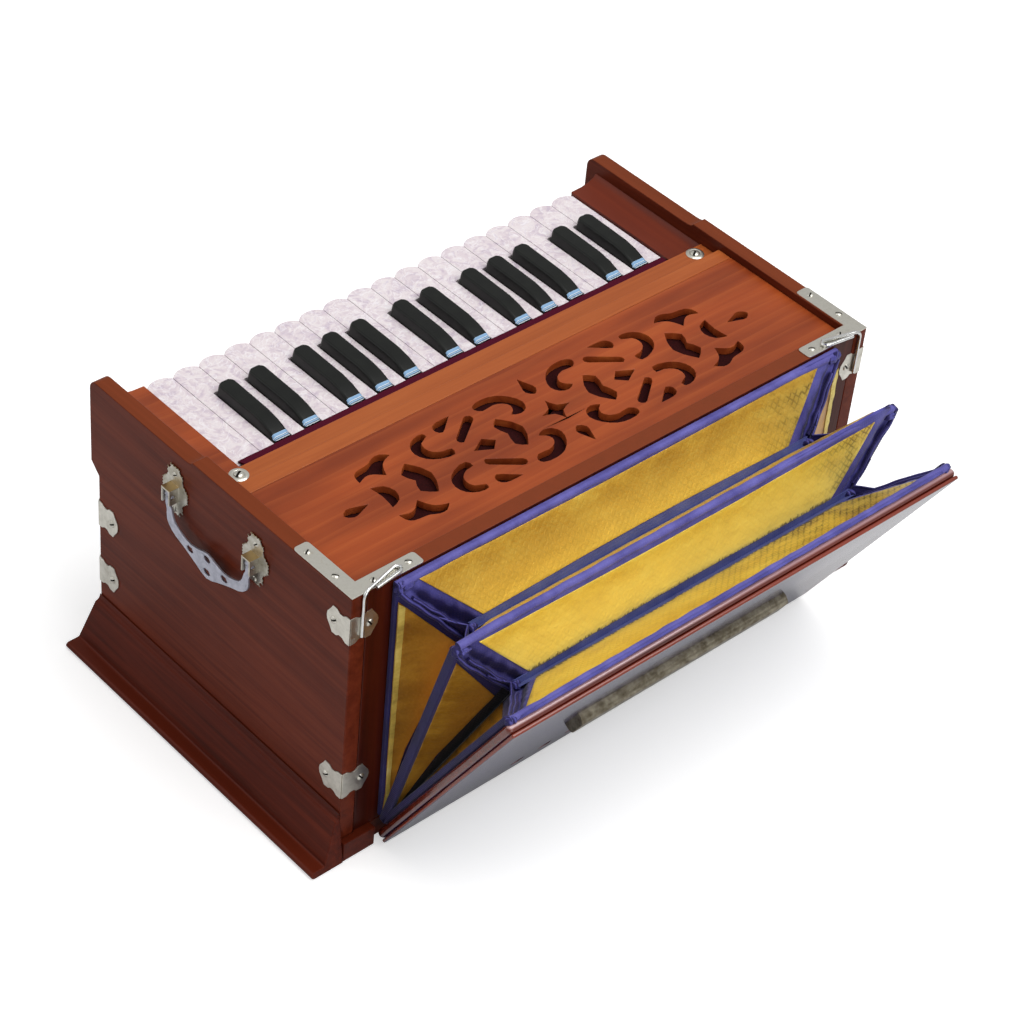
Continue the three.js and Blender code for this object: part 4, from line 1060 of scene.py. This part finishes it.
def foilFlange(fold, side, sideName):
    look, flange = halfFolds[fold], flangeLook

    def span(wide):
        start = min(look["sideMargins"][0], wide * cardLook["most"])
        taper = flange["wide"] * (flange["narrow"] + (1 - flange["narrow"]) * wide / flange["deep"])
        return start - flange["under"], start + min(taper, wide * flange["most"])

    def rise(place, across):
        return (flange["lift"] + look["flange"] * (1 - across / flange["wide"])
                + flange["ripple"] * ripple(place, flange["rippleLength"]))

    foldSheet(f"{fold}_{sideName}_flange", "flangeGold", fold, side, (cardLook["foot"], look["side"]), flange, span,
              rise)


def valleyStrip(fold, side, sideName):
    look, wanted = stripLook, halfFolds[fold]["strips"][1 if side else 0]
    gap = look["sideGap"] if side else 0
    foldSheet(f"{fold}_{sideName}_valley_strip", "valleyCloth", fold, side, ((0, 0), (gap, gap)), look,
              lambda wide: (wide - min(wanted, wide * look["most"]), wide),
              lambda place, across: look["lift"] + look["wave"] * ripple(place, look["waveLength"]))


clothLook = {"thick": 1.5, "rows": 30, "sideColumns": 84, "topColumns": 170, "crowd": 0.65, "soft": 0.18,
             "softLength": 11, "border": 14, "weld": 0.4}
gussetLook = {
    # cloth between a top card's end and the hem: how widely it falls to the hem at the frame and at the valley and
    # from which share of the mitre; its crease: depth, place, width, unevenness and where along the mitre it grows;
    # the gathering flutes: height, length, place, width and how far they stray; the edge where both begin
    "fall": (7, 4.2), "fallFrom": 0.4, "crease": 3, "spot": 3.6, "wide": 1.9, "even": 0.85, "uneven": 0.4,
    "unevenLength": 12, "grow": (0.04, 0.3), "flute": 0.22, "fluteLength": 13, "fluteSpot": 6, "fluteWide": 5,
    "stray": 2.6, "strayLength": 14, "begin": 1.5}


def eased(value, low, high):
    share = min(1, max(0, (value - low) / (high - low)))
    return share * share * (3 - 2 * share)


def stepped(table, share):
    for (a, first), (b, second) in zip(table, table[1:]):
        if share <= b:
            return first + (second - first) * (share - a) / (b - a)
    return table[-1][1]


def hemPoint(fold, side, share):
    # the side cloth ends at a hem that lies below the mitre
    low, high, valleyLow, valleyHigh = foldCorners(fold, side)
    drop = stepped(halfFolds[fold]["hem"], share) * mm
    atFrame = high - (high - low).normalized() * drop
    return atFrame.lerp(valleyHigh - (valleyHigh - valleyLow).normalized() * drop, share)


def gathered(fold, end, place, a, b):
    # how the top cloth falls beside one mitre, as a move, and how deep it is creased along its normal
    look = gussetLook
    along = (b - a).normalized()
    travel = (place - a).dot(along)
    share = min(1, max(0, travel / (b - a).length))
    apart = (place - a - along * travel).length / mm
    fall = look["fall"][0] + (look["fall"][1] - look["fall"][0]) * eased(share, look["fallFrom"], 1)
    move = (hemPoint(fold, end, share) - a.lerp(b, share)) * math.exp(-(apart / fall) ** 2)
    grown = eased(share, *look["grow"])
    depth = look["crease"] * grown * math.exp(-((apart - look["spot"]) / look["wide"]) ** 2)
    depth *= look["even"] + look["uneven"] * ripple(place, look["unevenLength"])
    phase = travel / (look["fluteLength"] * mm) * 2 * math.pi + look["stray"] * ripple(place, look["strayLength"])
    flute = look["flute"] * grown * math.exp(-((apart - look["fluteSpot"]) / look["fluteWide"]) ** 2)
    return move, (flute * math.sin(phase) - depth) * min(1, apart / look["begin"])


def clothPatch(bm, fold, side):
    look, corners = clothLook, foldCorners(fold, side)
    low, high, valleyLow, valleyHigh = corners
    outward = outwardOf(corners)
    made = bmesh.ops.create_grid(bm, x_segments=look["sideColumns" if side else "topColumns"],
                                 y_segments=look["rows"], size=0.5)["verts"]
    for vert in made:
        t, share = vert.co.x + 0.5, vert.co.y + 0.5
        if side:
            place = low.lerp(valleyLow, share).lerp(hemPoint(fold, side, share), t)
            rise, move = 0, Vector()
        else:
            t += look["crowd"] * ((1 - math.cos(math.pi * t)) / 2 - t)
            place = low.lerp(high, t).lerp(valleyLow.lerp(valleyHigh, t), share)
            mitres = [gathered(fold, end, place, a, b) for end, a, b in ((-1, low, valleyLow), (1, high, valleyHigh))]
            move, rise = mitres[0][0] + mitres[1][0], mitres[0][1] + mitres[1][1]
        rise += look["soft"] * ripple(place, look["softLength"])
        edge = min(1, look["border"] * share, look["border"] * (1 - share))
        vert.co = place + move + outward * rise * edge * mm


def foldCloth(pair):
    bm = bmesh.new()
    for fold in (name for name, look in halfFolds.items() if look["pair"] == pair):
        for side in (-1, 0, 1):
            clothPatch(bm, fold, side)
    bmesh.ops.remove_doubles(bm, verts=bm.verts, dist=clothLook["weld"] * mm)
    thickSheet(bm, Vector((0, 0, 1)), clothLook["thick"])
    finished(bm, f"bellows_{pair}_cloth", None, "cloth", replaces=(f"bellows_{pair}_folds",), bent=bendOf(pair),
             sharp=70)


for pair in pairs:
    foldCloth(pair)
for fold in halfFolds:
    for sideName, side in (("treble", -1), ("top", 0), ("bass", 1)):
        foilCard(fold, side, sideName)
        valleyStrip(fold, side, sideName)
        if side and halfFolds[fold]["flange"]:
            foilFlange(fold, side, sideName)
print("folds are made")

beadLook = {"wobble": 0.45, "turn": 9, "turnSteps": 6, "step": 4, "frame": (1.2, 40, 3)}
beads = {
    # the rolled cloth along each frame's top: its path is X and height up the lean, in mm
    "case": {"body": case, "lean": 0, "off": 0, "radius": 2.6, "seed": 1.5, "replaces": (),
             "path": [(-205, 227.6), (-180, 228.2), (150, 228), (205, 226)]},
    "ridge": {"body": ridgeBody, "lean": 15, "off": 0, "radius": 2.9, "seed": 4.2,
              "replaces": ("bellows_ridge_frame",),
              "path": [(-204.5, 226), (-185, 228), (0, 228), (165, 226.5), (204, 221.5)]},
    "board": {"body": boardBody, "lean": 30, "off": -1.2, "radius": 2.6, "seed": 9.7, "replaces": (),
              "path": [(-206, 226), (206, 226)]},
}
softNode("bellows_case_frame", case, "beadCloth", beadLook["frame"])
for kind, look in beads.items():
    corners = [leaning(x, up, look["lean"], look["off"]) for x, up in look["path"]]
    path = between(rounded(corners, beadLook["turn"], beadLook["turnSteps"]), beadLook["step"])
    mesh = tube(path, look["radius"], kind + "_bead", beadLook["wobble"], look["seed"])
    shown(mesh, kind + "_bead", look["body"], "beadCloth", sharp=60, replaces=look["replaces"])

bandLook = {"out": 208.4, "thick": 5, "low": 13, "ease": (1.5, 40, 3)}
bands = {
    "ridge": {"body": ridgeBody, "lean": 15, "wide": 7, "middle": 0, "high": 223},
    "board": {"body": boardBody, "lean": 30, "wide": 5, "middle": -2.9, "high": 225},
}


def sideBand(kind, sideName, side):
    # the binding cloth lies flat down the sides
    look = bands[kind]
    bm = bmesh.new()
    near, far = sorted((side * bandLook["out"], side * (bandLook["out"] - bandLook["thick"])))
    block(bm, (near, bandLook["low"], look["middle"] - look["wide"] / 2),
          (far, look["high"], look["middle"] + look["wide"] / 2))
    bevelled(bm, bandLook["ease"])
    bmesh.ops.transform(bm, matrix=leanPlace(look["lean"]), verts=bm.verts)
    finished(bm, f"{kind}_{sideName}_band", look["body"], "bandCloth", sharp=50)


rollLook = {
    # the hem rolled over along each mitre, a rib in the crease above it, and the pleat that leaves the hem for the
    # valley corner; the pleat's points are a share of the mitre, then how far out from it and above it; share is how
    # far a roll lies from the hem to the mitre, and aside how far it is moved out and up
    "hem": {"radius": 1.7, "wobble": 0.5, "span": (0.04, 0.98), "wander": 0.7, "share": 0, "aside": (0, 0)},
    "rib": {"radius": 1.3, "wobble": 0.6, "span": (0.16, 0.78), "wander": 1.0, "share": 0.42, "aside": (-2.6, -2)},
    "pleat": {"radius": 0.8, "wobble": 0.3, "wander": 0.3, "turn": 3, "turnSteps": 5, "step": 1.2,
              "points": ((0.5, 0.6, -8.8), (0.57, 1.6, -7.4), (0.66, 3.8, -3.8), (0.76, 5.0, -1.4), (0.88, 6.6, 2.6),
                         (1, 8.2, 6.4))},
}
rollShape = {"steps": 36, "lift": 0.7, "wanderLength": 13, "seed": 3.3}
webLook = {"thick": 0.8, "rows": 6, "columns": 24, "sag": 1.6, "sagDown": 0.4}


def rollPath(fold, side, kind):
    look = rollLook[kind]
    corners = foldCorners(fold, side)
    outward, frame, valley = outwardOf(corners), corners[1], corners[3]
    if kind == "pleat":
        points = [frame.lerp(valley, share) + Vector((side * out, 0, up)) * mm for share, out, up in look["points"]]
        path = between(rounded(points, look["turn"], look["turnSteps"]), look["step"])
    else:
        first, last = look["span"]
        path = []
        for k in range(rollShape["steps"] + 1):
            share = first + (last - first) * k / rollShape["steps"]
            place = hemPoint(fold, side, share).lerp(frame.lerp(valley, share), look["share"])
            aside = Vector((side * look["aside"][0], 0, look["aside"][1]))
            path.append(place + (aside + outward * rollShape["lift"]) * mm)
    wander = rollShape["wanderLength"] * mm
    return [p + noise.noise_vector(p / wander) * look["wander"] * mm for p in path]


def mitreRoll(fold, side, sideName, kind):
    name, look = f"{fold}_{sideName}_{kind}", rollLook[kind]
    mesh = tube(rollPath(fold, side, kind), look["radius"], name, look["wobble"], rollShape["seed"] + side)
    shown(mesh, name, None, "cloth", sharp=60, bent=bendOf(halfFolds[fold]["pair"]))


def valleyWeb(fold, side, sideName):
    # the pocket of cloth between the pleat and the hem, which closes the valley's end
    look = webLook
    edge = rollPath(fold, side, "pleat")
    first = rollLook["pleat"]["points"][0][0]
    bm = bmesh.new()
    bmesh.ops.create_grid(bm, x_segments=look["columns"], y_segments=look["rows"], size=0.5)
    for vert in bm.verts:
        t, deep = vert.co.x + 0.5, vert.co.y + 0.5
        share = t * (len(edge) - 1)
        k = min(int(share), len(edge) - 2)
        outer = edge[k].lerp(edge[k + 1], share - k)
        inner = hemPoint(fold, side, first + (1 - first) * t)
        sag = look["sag"] * math.sin(math.pi * deep) * t
        vert.co = outer.lerp(inner, deep) + Vector((-side * sag, 0, -sag * look["sagDown"])) * mm
    bmesh.ops.solidify(bm, geom=bm.faces[:], thickness=look["thick"] * mm)
    finished(bm, f"{fold}_{sideName}_web", None, "cloth", bent=bendOf(halfFolds[fold]["pair"]), sharp=70)


bunches = {
    # cloth bunched at each corner: half sizes of the lumps and their offsets outward, along and up
    "valley": [((3.6, 2.8, 2.8), (3.2, 0.3, 1.6)), ((2.6, 3.2, 2.4), (5.6, -0.6, 2.2)), ((2.2, 2.4, 4), (1.4, 0, -4))],
    "case": [((4.4, 2.8, 5.6), (-2.2, -0.4, -3.4)), ((5.4, 1.9, 3.2), (-7, -1.4, -3))],
    "ridge": [((4.2, 3.5, 4.6), (-1.4, 0, -2.4)), ((5.6, 3.1, 2.6), (-5, -1.4, -3.4))],
    "board": [((4.4, 3.2, 3.2), (-1.6, 0, -0.8))],
}
bunchLook = {"crease": 0.45, "creaseLength": 5.2, "fineness": 4, "apart": 5}
bunchSpots = {
    # the body, X, the height up the lean at the bass and at the treble end, the lean and how far off that plane
    "case": (case, 206, {"bass": 228, "treble": 228}, 0, 0),
    "ridge": (ridgeBody, 206, {"bass": 221, "treble": 225}, 15, 0),
    "board": (boardBody, 206.5, {"bass": 226, "treble": 226}, 30, -1.2),
}


def bunch(kind, name, corner, side, body=None, bent=None):
    bm = bmesh.new()
    for number, (size, offset) in enumerate(bunches[kind]):
        made = bmesh.ops.create_icosphere(bm, subdivisions=bunchLook["fineness"], radius=1)["verts"]
        middle = corner + Vector((side * offset[0], offset[1], offset[2])) * mm
        for vert in made:
            around = vert.co * Vector(size).length / bunchLook["creaseLength"]
            crease = noise.noise(around + Vector((number * bunchLook["apart"], side, len(name))))
            swell = (1 + bunchLook["crease"] * crease) * mm
            vert.co = middle + Vector([c * half * swell for c, half in zip(vert.co, size)])
    finished(bm, name, body, "cloth", bent=bent, sharp=70)


for sideName, side in ends.items():
    for kind in bands:
        sideBand(kind, sideName, side)
    for kind, (body, x, ups, lean, off) in bunchSpots.items():
        bunch(kind, f"{kind}_{sideName}_bunch", leaning(side * x, ups[sideName], lean, off), side, body=body)
    for fold in halfFolds:
        for kind in rollLook:
            mitreRoll(fold, side, sideName, kind)
        valleyWeb(fold, side, sideName)
    for pair, fold in (("inner", "case_side"), ("outer", "ridge_outer")):
        bunch("valley", f"{pair}_{sideName}_knot", foldCorners(fold, side)[3], side, bent=bendOf(pair))

boardLook = {
    # each layer's lower and upper face off the lean, how far it is set in and how its edges are eased
    "half": 211, "low": 2, "high": 226, "lean": 30, "grip": (0.5, 35, 2),
    "layers": ((0, 6.8, 0, (3.2, 25, 6)), (6.84, 9.7, 0.4, (1.2, 25, 6))),
    "holeRadius": 5.8, "holeCount": 9, "holePitch": 26, "holeRise": 34, "holeSides": 28, "cutter": 40}


def holeCutter():
    look = boardLook
    bm = bmesh.new()
    for k in range(look["holeCount"]):
        x = (k - (look["holeCount"] - 1) / 2) * look["holePitch"]
        made = bmesh.ops.create_cone(bm, cap_ends=True, segments=look["holeSides"], radius1=look["holeRadius"] * mm,
                                     radius2=look["holeRadius"] * mm, depth=look["cutter"] * mm)["verts"]
        bmesh.ops.translate(bm, vec=Vector((x, look["holeRise"], 0)) * mm, verts=made)
    cutter = bpy.data.objects.new("hole_cutter", meshOf(bm, "hole_cutter"))
    bpy.context.collection.objects.link(cutter)
    return cutter


def pumpBoard():
    look = boardLook
    bm = bmesh.new()
    for low, high, inset, ease in look["layers"]:
        half = look["half"] - inset
        made = set(block(bm, (-half, look["low"] + inset, low), (half, look["high"] - inset, high)))
        bevelled(bm, ease, lambda edge: made.issuperset(edge.verts))
    for face in bm.faces:
        face.material_index = 1 if face.calc_center_median().z > (look["layers"][1][0] - 0.01) * mm else 0
    mesh = meshOf(bm, "board")
    mesh.materials.append(finish["board"])  # the Boolean keeps the back's own finish only with both slots there
    mesh.materials.append(finish["boardBack"])
    board = bpy.data.objects.new("board", mesh)
    bpy.context.collection.objects.link(board)
    cutter = holeCutter()
    cut = board.modifiers.new("holes", "BOOLEAN")
    cut.object, cut.operation, cut.solver = cutter, "DIFFERENCE", "EXACT"
    bpy.context.view_layer.update()
    done = bpy.data.meshes.new_from_object(board.evaluated_get(bpy.context.evaluated_depsgraph_get()))
    bpy.data.objects.remove(board)
    bpy.data.objects.remove(cutter)
    done.transform(leanPlace(look["lean"]))
    done.name = "bellows_board_moulded"
    shown(done, "bellows_board_moulded", boardBody, "board", second="boardBack", replaces=("bellows_board",),
          sharp=40)


pumpBoard()
softNode("bellows_grip", boardBody, "grip", boardLook["grip"])
print("bellows are made")
